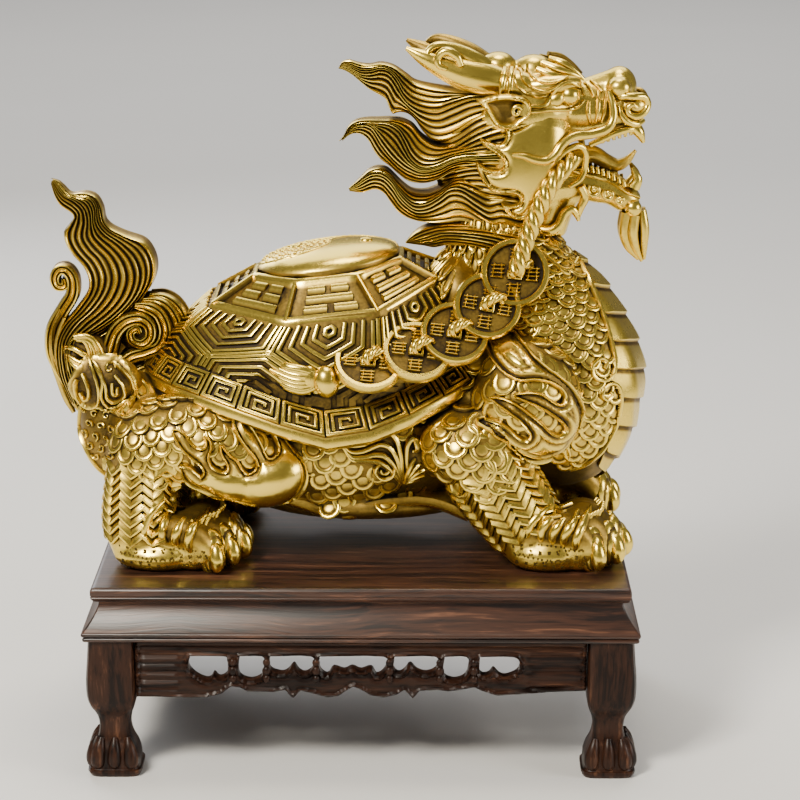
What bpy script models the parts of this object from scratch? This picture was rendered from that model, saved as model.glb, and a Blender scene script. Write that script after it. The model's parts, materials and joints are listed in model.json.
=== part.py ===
"""A brass dragon turtle standing on a carved dark wooden stand.

The figure is one casting: a turtle's body and shell with a dragon's head, mane, legs and tail,
and a string of coins that hangs from its mouth over the shell.
The stand is joinery: a top board, a moulded ledge, four cabriole legs and four pierced aprons.

Lengths are in millimetres in the driving values and become metres in Blender.
+X runs to the head, -Y is the near side, +Z is up, and the origin is on the floor under the middle.
"""

import math

import bmesh
import bpy
import numpy as np
from mathutils import Matrix, Vector
from mathutils.bvhtree import BVHTree

MM = 0.001

# The stand's driving sizes
STAND_HEIGHT = 100.0
STAND_MIDDLE_X = 9.4
TOP_HALF_LENGTH = 135.0
TOP_HALF_DEPTH = 88.0
TOP_THICKNESS = 8.2
LEDGE_OUTSET = 5.0
LEDGE_BOTTOM = 72.6
LEG_TOP_SIZE = 25.0
APRON_THICKNESS = 7.0
FIT_GAP = 0.3

# The figure's driving sizes
FEET_Z = STAND_HEIGHT + FIT_GAP
SHELL_MIDDLE = (-13.0, 0.0, 189.0)
SHELL_HALF_WIDTH = 68.0
SHELL_TOP = 69.0
# The dome's half length, half width and height above the rim, from the top down
SHELL_PROFILE = [
    (0.0, 0.0, SHELL_TOP), (12.0, 10.0, 68.2), (24.0, 20.0, 65.0), (33.0, 27.5, 60.0), (36.0, 30.0, 55.0),
    (52.0, 41.0, 45.0), (65.0, 47.0, 37.0), (76.0, 52.0, 25.0), (83.5, 56.5, 11.0),
    (92.0, SHELL_HALF_WIDTH, 0.5), (91.0, 67.0, -6.5), (70.0, 50.0, -12.0),
]
SHELL_TILT = math.radians(6.8)
SHELL_LEAN = 14.0
PLATE_RADIUS = 62.0
PLATE_INNER_SHARE = 0.63
RIM_SAG = 17.0
VOXEL = 1.3
THINNEST = 0.9
FIGURE_TRIANGLES = 6600

for old in list(bpy.data.objects):
    bpy.data.objects.remove(old)

piece_collection = bpy.data.collections.new("dragon turtle on stand")
bpy.context.scene.collection.children.link(piece_collection)
shape_collection = bpy.data.collections.new("shapes and cutters")
bpy.context.scene.collection.children.link(shape_collection)


def principled(name, colour, roughness, metallic):
    """A plain Principled BSDF material."""
    material = bpy.data.materials.new(name)
    material.use_nodes = True
    shader = material.node_tree.nodes["Principled BSDF"]
    shader.inputs["Base Color"].default_value = (*colour, 1.0)
    shader.inputs["Roughness"].default_value = roughness
    shader.inputs["Metallic"].default_value = metallic
    return material


BRASS = principled("aged brass", (0.62, 0.42, 0.13), 0.34, 1.0)
DARK_WOOD = principled("dark wenge wood", (0.050, 0.026, 0.018), 0.42, 0.0)


def add_object(name, data, collection):
    """A new object that holds this data, in this collection."""
    made = bpy.data.objects.new(name, data)
    collection.objects.link(made)
    return made


def mesh_object(name, bm, collection=piece_collection):
    """An object from a bmesh whose points are in millimetres."""
    bmesh.ops.scale(bm, vec=(MM, MM, MM), verts=bm.verts)
    bmesh.ops.recalc_face_normals(bm, faces=bm.faces)
    mesh = bpy.data.meshes.new(name)
    bm.to_mesh(mesh)
    bm.free()
    return add_object(name, mesh, collection)


def finish_piece(piece, material):
    """Gives a final piece its material and shading."""
    piece.data.materials.clear()
    piece.data.materials.append(material)
    piece.data.shade_smooth()
    piece.data.set_sharp_from_angle(angle=math.radians(35))
    return piece


def smooth_line(points, steps):
    """Points on a Catmull-Rom curve through these tuples, which may hold more numbers than three."""
    line = [Vector(p) for p in points]
    ends = [line[0] * 2 - line[1], *line, line[-1] * 2 - line[-2]]
    found = []
    for i in range(1, len(ends) - 2):
        before, here, after, beyond = ends[i - 1 : i + 3]
        for k in range(steps):
            t = k / steps
            found.append(
                (
                    here * 2
                    + (after - before) * t
                    + (before * 2 - here * 5 + after * 4 - beyond) * t**2
                    + (here * 3 - before - after * 3 + beyond) * t**3
                )
                * 0.5
            )
    found.append(line[-1])
    return found


def settle(shape):
    """The evaluated mesh of a helper shape as a new plain object, in place of the shape."""
    bpy.context.view_layer.update()
    graph = bpy.context.evaluated_depsgraph_get()
    mesh = bpy.data.meshes.new_from_object(shape.evaluated_get(graph))
    mesh.transform(shape.matrix_world)
    bm = bmesh.new()
    bm.from_mesh(mesh)
    bmesh.ops.remove_doubles(bm, verts=bm.verts, dist=0.00001)
    bmesh.ops.recalc_face_normals(bm, faces=bm.faces)
    bm.to_mesh(mesh)
    bm.free()
    plain = add_object(shape.name + " settled", mesh, shape_collection)
    bpy.data.objects.remove(shape)
    return plain


# The casting's shapes are gathered here, and become one solid at the end
casting = []


def ball(centre, radii, turn=0.0):
    """An ellipsoid, turned in the side view by this many degrees, nose up when positive."""
    bm = bmesh.new()
    bmesh.ops.create_uvsphere(bm, u_segments=24, v_segments=14, radius=1.0)
    place = (
        Matrix.Translation(centre)
        @ Matrix.Rotation(-math.radians(turn), 4, "Y")
        @ Matrix.Diagonal((*radii, 1.0))
    )
    bmesh.ops.transform(bm, matrix=place, verts=bm.verts)
    casting.append(mesh_object("ball", bm, shape_collection))


def lock(points, flat=1.0, steps=5):
    """A tapering tube through (x, y, z, radius) points, flattened across the figure by this share."""
    middle = sum(p[1] for p in points) / len(points)
    line = smooth_line([(p[0], p[1], p[2], p[3]) for p in points], steps)
    curve = bpy.data.curves.new("lock", "CURVE")
    curve.dimensions = "3D"
    curve.bevel_depth = MM
    curve.bevel_resolution = 4
    curve.use_fill_caps = True
    spline = curve.splines.new("POLY")
    spline.points.add(len(line) - 1)
    for point, (x, y, z, radius) in zip(spline.points, line):
        point.co = (x * MM, (y - middle) / flat * MM, z * MM, 1.0)
        point.radius = max(radius, THINNEST)
    tube = add_object("lock", curve, shape_collection)
    tube.location = (0.0, middle * MM, 0.0)
    tube.scale = (1.0, flat, 1.0)
    casting.append(settle(tube))


def both_sides(shape, *arguments, **options):
    """Makes a ball or a lock on the near side, and its mirror image on the far side."""
    for side in (1.0, -1.0):
        if shape is ball:
            (x, y, z), *rest = arguments
            ball((x, y * side, z), *rest, **options)
        else:
            points, *rest = arguments
            lock([(x, y * side, z, radius) for x, y, z, radius in points], *rest, **options)


def body():
    """Torso, neck and chest."""
    ball((-14.0, 0.0, 160.0), (100.0, 55.0, 43.0))
    ball((-80.0, 0.0, 162.0), (46.0, 44.0, 34.0))
    ball((60.0, 0.0, 170.0), (50.0, 46.0, 42.0))
    ball((10.0, 0.0, 128.0), (66.0, 42.0, 12.0))
    both_sides(ball, (-112.0, -20.0, 166.0), (25.0, 22.0, 30.0))
    ball((58.0, 0.0, 234.0), (15.0, 30.0, 22.0))
    ball((103.0, 0.0, 272.0), (12.0, 13.0, 12.0))
    neck_sections = [
        (112.0, 0.0, 130.0, 8.0),
        (113.0, 0.0, 141.0, 27.0),
        (111.0, 0.0, 154.0, 41.0),
        (106.0, 0.0, 174.0, 50.0),
        (103.0, 0.0, 196.0, 50.0),
        (97.0, 0.0, 220.0, 42.0),
        (86.0, 0.0, 243.0, 31.0),
        (78.0, 0.0, 262.0, 25.0),
        (84.0, 0.0, 288.0, 22.0),
    ]
    lock(neck_sections, flat=0.8)


def shell():
    """The domed shell: a turned profile drawn out to an oval, with a fretted rim and an eight-sided plate."""
    bm = bmesh.new()
    corners = [bm.verts.new((radius, 0.0, height)) for radius, across, height in SHELL_PROFILE]
    corners.append(bm.verts.new((0.0, 0.0, SHELL_PROFILE[-1][2])))
    for first, second in zip(corners, corners[1:]):
        bm.edges.new((first, second))
    turned = mesh_object("shell", bm, shape_collection)
    screw = turned.modifiers.new("turn", "SCREW")
    screw.steps = screw.render_steps = 48
    screw.use_merge_vertices = True
    screw.merge_threshold = 0.00005
    dome = settle(turned)
    for vertex in dome.data.vertices:
        x, y, z = vertex.co / MM
        y *= shell_squeeze(z)
        rise = max(0.0, 1.0 - max(z, 0.0) / 40.0)
        z -= RIM_SAG * rise * (y / SHELL_HALF_WIDTH) ** 2
        vertex.co = shell_point(x, y, z) * MM
    casting.append(dome)
    plate = bmesh.new()
    steps = [(0.96, -14.0), (1.0, -4.0), (1.0, 0.0), (0.97, 1.6), (PLATE_INNER_SHARE + 0.02, 1.6), (PLATE_INNER_SHARE - 0.04, 0.4)]
    rings = []
    for share, lift in steps:
        rings.append([plate.verts.new(plate_corner(corner, share, lift)) for corner in range(8)])
    for low, high in zip(rings, rings[1:]):
        for k in range(8):
            plate.faces.new((low[k], low[k - 1], high[k - 1], high[k]))
    plate.faces.new(rings[0])
    plate.faces.new(rings[-1])
    casting.append(mesh_object("eight-sided plate", plate, shape_collection))


def shell_squeeze(z):
    """How much narrower than long the shell is at this height of its own frame."""
    heights = [height for radius, across, height in SHELL_PROFILE[:0:-1]]
    shares = [across / radius for radius, across, height in SHELL_PROFILE[:0:-1]]
    return float(np.interp(z, heights, shares))


def shell_point(x, y, z):
    """A point of the shell's own frame, leaning forward with height, turned nose up and set on the body."""
    lean = SHELL_LEAN * max(0.0, z / SHELL_TOP) ** 1.3
    turned = Matrix.Rotation(-SHELL_TILT, 3, "Y") @ Vector((x + lean, y, z))
    return turned + Vector(SHELL_MIDDLE)


def plate_corner(index, share, lift):
    """A corner of the eight-sided plate, at its outer edge when share is 1, raised off the dome by the lift."""
    angle = math.radians(22.5 + 45.0 * index)
    radius = PLATE_RADIUS * share
    height = 45.0 + (1.0 - share) * 37.0
    across = radius * math.sin(angle) * shell_squeeze(height)
    return shell_point(radius * math.cos(angle), across, height + lift - 5.0 * (across / 46.0) ** 2)


def hind_legs():
    """Thigh with its smooth knee pad, shank, paw and toes, on both sides."""
    both_sides(ball, (-70.0, -42.0, 163.0), (46.0, 23.0, 24.0), -9.0)
    both_sides(ball, (-100.0, -38.0, 160.0), (22.0, 24.0, 25.0))
    both_sides(ball, (-37.0, -45.0, 146.0), (22.0, 20.0, 15.0), 14.0)
    shank = [(-99.0, -42.0, 160.0, 20.0), (-105.0, -44.0, 138.0, 18.5), (-105.0, -45.0, 118.0, 18.0), (-101.0, -46.0, 108.0, 17.0)]
    both_sides(lock, shank, flat=0.95)
    both_sides(ball, (-98.0, -46.0, 107.0), (20.0, 18.0, 13.0))
    both_sides(ball, (-80.0, -48.0, 107.0), (20.0, 18.0, 12.0))
    for toe in range(4):
        across = -62.0 + toe * 9.0
        reach = -60.0 + 3.0 * math.sin(math.pi * (toe + 0.5) / 4.0)
        toe_line = [(-84.0, across * 0.4 - 28.0, 117.0, 5.5), (reach - 8.0, across, 114.0, 6.0), (reach, across, 106.0, 5.4), (reach + 4.0, across, 100.0, 3.0)]
        both_sides(lock, toe_line)
    both_sides(ball, (-121.0, -31.0, 192.0), (18.0, 11.0, 14.0))


def fore_legs():
    """Shoulder, foreleg, paw and toes, on both sides."""
    both_sides(ball, (80.0, -40.0, 178.0), (37.0, 25.0, 33.0), -32.0)
    foreleg = [(66.0, -42.0, 168.0, 26.0), (76.0, -43.0, 145.0, 22.0), (89.0, -45.0, 126.0, 18.0), (97.0, -46.0, 112.0, 16.0)]
    both_sides(lock, foreleg, flat=0.9)
    both_sides(ball, (97.0, -46.0, 108.0), (22.0, 18.0, 13.0))
    both_sides(ball, (117.0, -46.0, 111.0), (19.0, 18.0, 15.0))
    for toe in range(4):
        across = -61.0 + toe * 9.0
        reach = 136.0 + 3.0 * math.sin(math.pi * (toe + 0.5) / 4.0)
        toe_line = [(112.0, across * 0.4 - 27.0, 122.0, 6.0), (reach - 9.0, across, 121.0, 6.4), (reach, across, 110.0, 5.8), (reach + 3.0, across, 101.0, 3.4)]
        both_sides(lock, toe_line)


def laid_on(points, sink):
    """Near-side points (x, z, radius) set on the surface of what is gathered so far, sunk by a share of the radius."""
    gathered = bmesh.new()
    for shape in casting:
        gathered.from_mesh(shape.data)
    tree = BVHTree.FromBMesh(gathered)
    gathered.free()
    found = []
    for x, z, radius in points:
        hit = tree.ray_cast(Vector((x, -200.0, z)) * MM, Vector((0.0, 1.0, 0.0)))[0]
        found.append((x, hit.y / MM + radius * sink, z, radius))
    return found


def flames():
    """The flame tongues that run over the shoulders, up from the knee pads and behind the elbows."""
    tongues = [
        [(-26, 150, 5.0), (-42, 160, 4.0), (-50, 171, 3.4), (-60, 178, 2.8), (-76, 181, 1.2)],
        [(-24, 152, 4.0), (-32, 162, 3.2), (-38, 167, 1.4)],
        [(-44, 150, 4.5), (-58, 160, 3.4), (-68, 167, 2.8), (-80, 173, 1.2)],
        [(-50, 146, 4.0), (-66, 152, 3.0), (-80, 156, 1.2)],
        [(114, 166, 4.5), (114, 184, 4.6), (104, 200, 4.4), (88, 205, 3.8), (72, 209, 3.2), (58, 206, 1.2)],
        [(108, 170, 4.5), (103, 184, 3.8), (92, 190, 3.2), (78, 191, 1.2)],
        [(100, 162, 4.4), (90, 170, 3.4), (78, 172, 2.8), (64, 177, 1.2)],
        [(52, 142, 5.0), (38, 146, 6.0), (26, 154, 5.0), (12, 158, 1.6)],
    ]
    for tongue in [laid_on(points, 0.35) for points in tongues]:
        both_sides(lock, tongue)


def head():
    """Skull, snout, open jaws, brows, eyes, ears, cheek fins, horns and chin beard."""
    ball((92.0, 0.0, 327.0), (29.0, 25.0, 19.0), 8.0)
    ball((90.0, 0.0, 302.0), (23.0, 26.0, 28.0))
    lock([(98.0, 0.0, 326.0, 18.0), (120.0, 0.0, 326.0, 17.0), (136.0, 0.0, 326.0, 13.0), (148.0, 0.0, 324.0, 9.0)], flat=0.95)
    ball((141.0, 0.0, 338.0), (10.0, 11.0, 10.0))
    both_sides(ball, (147.0, -8.0, 331.0), (6.5, 5.0, 6.0))
    lock([(96.0, 0.0, 288.0, 16.0), (118.0, 0.0, 288.0, 11.5), (136.0, 0.0, 288.0, 9.0), (147.0, 0.0, 291.0, 6.5)], flat=1.15)
    lock([(112.0, 0.0, 300.0, 4.5), (134.0, 0.0, 299.0, 3.6), (142.0, 0.0, 301.0, 2.4), (149.0, 0.0, 306.0, 0.8)], flat=1.5)
    lock([(144.0, 0.0, 289.0, 7.0), (148.0, 0.0, 278.0, 6.4), (148.0, 0.0, 266.0, 5.6), (152.5, 0.0, 249.0, 0.8)])
    lock([(142.0, 0.0, 284.0, 5.0), (143.0, 0.0, 274.0, 4.0), (145.0, 0.0, 262.0, 2.4), (149.0, 0.0, 254.0, 0.8)])
    both_sides(lock, [(149.0, -8.0, 320.0, 3.0), (151.0, -8.5, 315.0, 2.4), (152.5, -8.0, 309.0, 0.8)])
    both_sides(ball, (104.0, -14.0, 344.0), (16.0, 8.0, 6.5), 4.0)
    both_sides(lock, [(96.0, -16.0, 342.0, 3.4), (106.0, -18.0, 345.0, 3.4), (116.0, -17.0, 342.0, 3.0), (121.0, -14.0, 337.0, 1.0)])
    both_sides(ball, (113.0, -17.5, 337.0), (5.6, 4.4, 5.6))
    both_sides(lock, [(94.0, -25.0, 331.0, 4.0), (84.0, -29.0, 331.0, 6.0), (76.0, -31.0, 334.0, 4.0), (68.0, -31.0, 337.0, 0.8)], flat=0.6)
    both_sides(lock, [(136.0, -14.0, 336.0, 3.0), (136.0, -17.0, 322.0, 2.6), (114.0, -21.0, 318.0, 2.2), (104.0, -24.0, 306.0, 2.2), (84.0, -27.0, 309.0, 0.8)])
    for tip, base in (((69.0, 315.0), (88.0, 304.0)), ((67.0, 304.0), (86.0, 290.0)), ((79.0, 284.0), (96.0, 280.0))):
        both_sides(lock, [(base[0], -22.0, base[1], 7.0), ((base[0] + tip[0]) / 2.0, -25.5, base[1] * 0.7 + tip[1] * 0.3 - 2.0, 4.6), (tip[0], -28.0, tip[1], 0.8)], flat=0.6)
    both_sides(lock, [(108.0, -14.0, 280.0, 5.0), (112.0, -15.0, 273.0, 3.4), (103.0, -16.0, 266.0, 0.8)])
    lock([(118.0, 0.0, 284.0, 6.0), (121.0, 0.0, 276.0, 4.0), (121.0, 0.0, 270.0, 0.8)])
    beam = [(90.0, -12.0, 340.0, 9.4), (76.0, -13.0, 343.0, 9.4), (62.0, -15.0, 346.5, 8.6), (50.0, -16.0, 351.0, 6.6), (40.0, -17.0, 356.0, 4.0), (31.5, -17.0, 360.5, 1.0)]
    both_sides(lock, beam)
    both_sides(lock, [(66.0, -13.0, 350.0, 5.5), (56.0, -14.0, 357.0, 5.0), (47.0, -18.0, 357.0, 3.4), (44.0, -21.0, 355.0, 1.2)])
    for x, z, radius in ((81.0, 349.5, 8.0), (94.0, 348.5, 8.5), (109.0, 346.0, 8.0), (122.0, 339.0, 6.0)):
        ball((x, 0.0, z), (radius, 8.0, radius * 0.75))


def strands(upper, lower, count, bulge=0.0, flat=0.9):
    """Locks side by side between an upper and a lower guide, standing out by the bulge in the middle."""
    for k in range(count):
        share = k / (count - 1)
        out = bulge * math.sin(math.pi * share)
        points = []
        for above, below in zip(upper, lower):
            x, y, z, radius = (a + (b - a) * share for a, b in zip(above, below))
            points.append((x, y - out * min(1.0, radius / 4.0), z, radius))
        both_sides(lock, points, flat=flat)


def mane():
    """Wavy locks that stream back from the cheeks to three pointed tips on each side."""
    top_upper = [(86, -12, 334, 5), (68, -13, 335, 5), (50, -12, 335, 4), (36, -10, 338, 4), (24, -8, 345, 3.4), (10, -6, 348.5, 2), (-4, -5, 349, 0.7)]
    top_lower = [(86, -18, 318, 4), (66, -19, 317, 4), (50, -16, 322, 4), (34, -13, 327, 4), (22, -10, 334, 3.4), (11, -7, 343, 2), (-4, -5, 348, 0.7)]
    strands(top_upper, top_lower, 4, 4.0)
    middle_upper = [(86, -18, 316, 4), (66, -20, 312, 4), (48, -17, 318, 4), (32, -13, 317, 4), (20, -11, 318, 3.4), (8, -9, 318, 2.4), (-3, -7, 312, 0.7)]
    middle_lower = [(88, -20, 296, 4), (68, -21, 292, 4), (50, -18, 298, 4), (34, -15, 297, 4), (20, -12, 300, 3.4), (11, -9, 309, 2.4), (-3, -7, 311, 0.7)]
    strands(middle_upper, middle_lower, 4, 5.0)
    low_upper = [(88, -20, 292, 4), (68, -21, 286, 4), (48, -19, 292, 4), (34, -16, 291, 4), (22, -12, 294, 3.4), (11, -9, 294, 2.2), (0, -7, 286, 0.7)]
    low_lower = [(96, -13, 268, 4), (76, -14, 266, 4), (56, -14, 271, 4), (38, -12, 273, 4), (26, -10, 279, 3.4), (14, -8, 286, 2), (1, -7, 286, 0.7)]
    strands(low_upper, low_lower, 5, 5.0)
    lock([(74.0, 0.0, 300.0, 27.0), (50.0, 0.0, 302.0, 25.0), (32.0, 0.0, 302.0, 17.0), (20.0, 0.0, 304.0, 6.0)], flat=0.6)
    lock([(60.0, 0.0, 325.0, 9.0), (40.0, 0.0, 330.0, 9.0), (26.0, 0.0, 336.0, 7.0), (12.0, 0.0, 345.0, 3.0)], flat=1.1)
    lock([(60.0, 0.0, 280.0, 12.0), (42.0, 0.0, 281.0, 10.0), (26.0, 0.0, 286.0, 7.0), (12.0, 0.0, 289.0, 3.0)], flat=1.1)
    lock([(57.0, 0.0, 238.0, 8.0), (53.0, 0.0, 254.0, 8.0), (42.0, 0.0, 264.0, 5.0), (35.0, 0.0, 263.0, 3.0), (31.0, 0.0, 257.0, 0.8)], flat=1.4)


def tail():
    """A flame-shaped plume of fluted strands that rises from the rump, with a curl at its back and a scroll in front."""
    lock([(-92.0, 0.0, 156.0, 24.0), (-112.0, 0.0, 158.0, 24.0), (-130.0, 0.0, 172.0, 19.0), (-137.0, 0.0, 192.0, 16.0), (-134.0, 0.0, 212.0, 15.0)], flat=1.1)
    back = [(-141, -6, 192, 5), (-146, -6, 208, 4.4), (-138, -6, 226, 4.2), (-131, -5, 242, 4), (-138, -4, 258, 3.6), (-142, -2, 271, 3), (-151, -0.6, 289, 1.6)]
    middle = [(-130, -8, 196, 5), (-128, -9, 212, 4.4), (-116, -9, 230, 4.2), (-109, -7, 246, 4), (-122, -5, 262, 3.6), (-129, -2, 277, 3), (-142, -0.6, 285, 1.6)]
    front = [(-120, -8, 198, 5), (-112, -9, 214, 4.4), (-103, -9, 230, 4.2), (-99, -7, 247, 4), (-107, -5, 259, 3.4), (-118, -3, 265, 2.4), (-126, -1, 272, 1.3)]
    strands(back, middle, 3, 3.0)
    strands(middle, front, 3, 2.0)
    lock([(-128.0, 0.0, 205.0, 16.0), (-122.0, 0.0, 228.0, 18.0), (-119.0, 0.0, 246.0, 15.0), (-128.0, 0.0, 262.0, 9.0), (-135.0, 0.0, 274.0, 5.0)], flat=0.55)
    curl = [(-150.0, 0.0, 202.0, 5.0), (-149.0, 0.0, 218.0, 5.0), (-142.0, 0.0, 231.0, 4.4), (-140.0, 0.0, 242.0, 3.4), (-147.0, 0.0, 247.5, 3.0), (-152.5, 0.0, 241.0, 2.8), (-148.0, 0.0, 235.0, 2.6)]
    lock(curl, flat=1.3)
    ball((-147.0, 0.0, 241.0), (5.0, 3.0, 5.0))
    lock([(-133.0, 0.0, 244.0, 4.0), (-142.0, 0.0, 252.0, 3.6), (-145.0, 0.0, 260.0, 2.8), (-140.0, 0.0, 268.0, 1.2)])
    scroll = [(-127, -10, 198, 7), (-110, -13, 190, 6), (-94, -14, 197, 5.4), (-90, -14, 212, 5), (-99, -14, 223, 4.4), (-111, -14, 221, 3.6), (-115, -14, 210, 3), (-107, -14, 204, 2.6), (-101, -14, 210, 2)]
    both_sides(lock, scroll, flat=1.2)
    ball((-104.0, 0.0, 208.0), (15.0, 14.0, 15.0))
    both_sides(lock, [(-126, -16, 182, 8), (-138, -13, 198, 6), (-130, -10, 208, 1.0)], flat=0.9)


COIN_RADIUS = 17.0
COIN_THICKNESS = 5.0
COINS = [
    ((13.0, -56.0, 208.0), 50.0, 6.0),
    ((37.0, -53.0, 213.0), 48.0, 8.0),
    ((56.0, -47.0, 221.0), 42.0, 10.0),
    ((72.5, -41.0, 234.0), 30.0, 12.0),
    ((86.5, -35.0, 250.0), 16.0, 6.0),
]


def coin_string():
    """A twisted cord from the mouth, five pierced coins, a bead and a tassel, lying on neck and shell."""
    for centre, lean, roll in COINS:
        bm = bmesh.new()
        bmesh.ops.create_cone(bm, cap_ends=True, segments=28, radius1=COIN_RADIUS, radius2=COIN_RADIUS, depth=COIN_THICKNESS)
        face_viewer = Matrix.Rotation(math.radians(90.0 - lean), 4, "X")
        place = Matrix.Translation(centre) @ Matrix.Rotation(math.radians(roll), 4, "Y") @ face_viewer
        bmesh.ops.transform(bm, matrix=place, verts=bm.verts)
        casting.append(mesh_object("coin", bm, shape_collection))
    cord = [(116.0, -19.0, 306.0, 4.0), (107.0, -27.0, 297.0, 4.2), (101.0, -30.0, 288.0, 4.2), (94.0, -33.0, 272.0, 4.2), (89.0, -38.0, 258.0, 4.2), (86.0, -39.0, 249.0, 3.0)]
    lock(cord)
    lock([(95.0, -24.0, 275.0, 5.0), (86.0, -28.0, 250.0, 6.0), (72.0, -34.0, 232.0, 6.0), (50.0, -40.0, 212.0, 8.0), (30.0, -44.0, 203.0, 8.0), (10.0, -48.0, 198.0, 6.0)])
    ball((-8.0, -58.0, 199.0), (6.5, 6.5, 8.2), 8.0)
    lock([(-12.0, -57.0, 200.0, 5.0), (-22.0, -56.0, 202.0, 6.2), (-34.0, -52.0, 204.0, 4.4), (-46.0, -49.0, 208.0, 0.8)])


def cast_figure():
    """Blends the gathered shapes into one solid with flat soles."""
    figure = bmesh.new()
    for shape in casting:
        figure.from_mesh(shape.data)
        bpy.data.objects.remove(shape)
    mesh = bpy.data.meshes.new("rough casting")
    figure.to_mesh(mesh)
    figure.free()
    rough = add_object("rough casting", mesh, shape_collection)
    fuse = rough.modifiers.new("fuse", "REMESH")
    fuse.mode = "VOXEL"
    fuse.voxel_size = VOXEL * MM
    ease = rough.modifiers.new("ease the seams", "SMOOTH")
    ease.factor = 0.5
    ease.iterations = 2
    dense = settle(rough)
    flatten_soles(dense.data)
    thin = dense.modifiers.new("fewer faces", "DECIMATE")
    thin.ratio = FIGURE_TRIANGLES / (2 * len(dense.data.polygons))
    solid = settle(dense)
    keep_largest_body(solid.data)
    shape_collection.objects.unlink(solid)
    piece_collection.objects.link(solid)
    solid.name = "dragon_turtle"
    finish_piece(solid, BRASS)


def flatten_soles(mesh):
    """Brings what lies below the soles' height onto that height."""
    for vertex in mesh.vertices:
        vertex.co.z = max(vertex.co.z, FEET_Z * MM)


def keep_largest_body(mesh):
    """Drops the crumbs that thinning leaves beside the one large body."""
    bm = bmesh.new()
    bm.from_mesh(mesh)
    bodies = []
    unseen = set(bm.verts)
    while unseen:
        found = {unseen.pop()}
        edge_of_search = list(found)
        while edge_of_search:
            vertex = edge_of_search.pop()
            for edge in vertex.link_edges:
                other = edge.other_vert(vertex)
                if other in unseen:
                    unseen.discard(other)
                    found.add(other)
                    edge_of_search.append(other)
        bodies.append(found)
    largest = max(bodies, key=len)
    crumbs = [vertex for vertex in bm.verts if vertex not in largest]
    bmesh.ops.delete(bm, geom=crumbs, context="VERTS")
    bm.to_mesh(mesh)
    bm.free()


def stacked_board(name, sections):
    """A rectangular board with a moulded edge, lofted through (height, outset) sections from the bottom up."""
    bm = bmesh.new()
    rings = []
    for height, outset in sections:
        half_x = TOP_HALF_LENGTH + outset
        half_y = TOP_HALF_DEPTH + outset
        corners = ((-half_x, -half_y), (half_x, -half_y), (half_x, half_y), (-half_x, half_y))
        rings.append([bm.verts.new((STAND_MIDDLE_X + x, y, height)) for x, y in corners])
    for low, high in zip(rings, rings[1:]):
        for k in range(4):
            bm.faces.new((low[k], low[k - 1], high[k - 1], high[k]))
    bm.faces.new(rings[0])
    bm.faces.new(rings[-1])
    return finish_piece(mesh_object(name, bm), DARK_WOOD)


def boards():
    """The top board with its rounded edge, and the ledge below it with a cove and a double bead."""
    top = STAND_HEIGHT
    under = top - TOP_THICKNESS
    stacked_board(
        "stand_top",
        [(under, -3.0), (under + 1.0, -1.0), (under + 3.0, 0.4), (top - 3.2, 0.4), (top - 1.6, 0.2), (top - 0.5, -0.4), (top, -1.4)],
    )
    high = under - FIT_GAP
    lip = LEDGE_BOTTOM + 5.4
    cove = [(lip + (high - lip) * t, -3.6 + (LEDGE_OUTSET + 2.6) * (1.0 - t) ** 1.5) for t in (0.0, 0.2, 0.4, 0.6, 0.8, 1.0)]
    beads = [
        (LEDGE_BOTTOM, 2.4),
        (LEDGE_BOTTOM + 0.4, 4.2),
        (LEDGE_BOTTOM + 1.9, 4.4),
        (LEDGE_BOTTOM + 2.5, 3.2),
        (LEDGE_BOTTOM + 3.1, LEDGE_OUTSET),
        (LEDGE_BOTTOM + 4.9, LEDGE_OUTSET),
    ]
    stacked_board("stand_ledge", beads + cove)


LEG_SECTIONS = [
    (0.0, 1.4, 26.4),
    (2.0, 0.2, 27.4),
    (5.0, 0.0, 27.4),
    (9.0, 0.4, 27.0),
    (14.0, 2.0, 25.0),
    (19.0, 4.6, 22.6),
    (25.0, 6.0, 21.4),
    (31.0, 5.2, 22.4),
    (37.0, 2.0, 24.4),
    (43.0, 0.4, 25.2),
    (52.0, 0.2, 25.2),
    (60.0, 0.8, 25.2),
    (LEDGE_BOTTOM - FIT_GAP, 1.6, 25.2),
]
TOE_HEIGHT = 20.0
LEG_POINTS = 16


def leg(name, side_x, side_y):
    """A cabriole leg with a clawed foot: rounded square sections whose two outer faces swell into toes low down."""
    corner_x = STAND_MIDDLE_X + side_x * (TOP_HALF_LENGTH + LEDGE_OUTSET - 1.0)
    corner_y = side_y * (TOP_HALF_DEPTH + LEDGE_OUTSET - 1.0)
    bm = bmesh.new()
    rings = []
    for height, outer, inner in LEG_SECTIONS:
        half = (inner - outer) / 2.0
        middle = (inner + outer) / 2.0
        claw = max(0.0, 1.0 - abs(height - 9.0) / 11.0)
        ring = []
        for k in range(LEG_POINTS):
            angle = 2.0 * math.pi * k / LEG_POINTS
            across, along = math.cos(angle), math.sin(angle)
            square = (abs(across) ** 5 + abs(along) ** 5) ** -0.2
            toes = 1.0 + 0.09 * claw * math.cos(8.0 * angle)
            x = middle - half * square * toes * across
            y = middle - half * square * toes * along
            ring.append(bm.verts.new((corner_x - side_x * x, corner_y - side_y * y, height)))
        rings.append(ring)
    for low, high in zip(rings, rings[1:]):
        for k in range(LEG_POINTS):
            bm.faces.new((low[k], low[k - 1], high[k - 1], high[k]))
    bm.faces.new(rings[0])
    bm.faces.new(rings[-1])
    finish_piece(mesh_object(name, bm), DARK_WOOD)


def legs():
    """The four legs, one under each corner."""
    for name, side_x, side_y in (("front_left", -1, -1), ("front_right", 1, -1), ("back_left", -1, 1), ("back_right", 1, 1)):
        leg("stand_leg_" + name, side_x, side_y)


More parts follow.
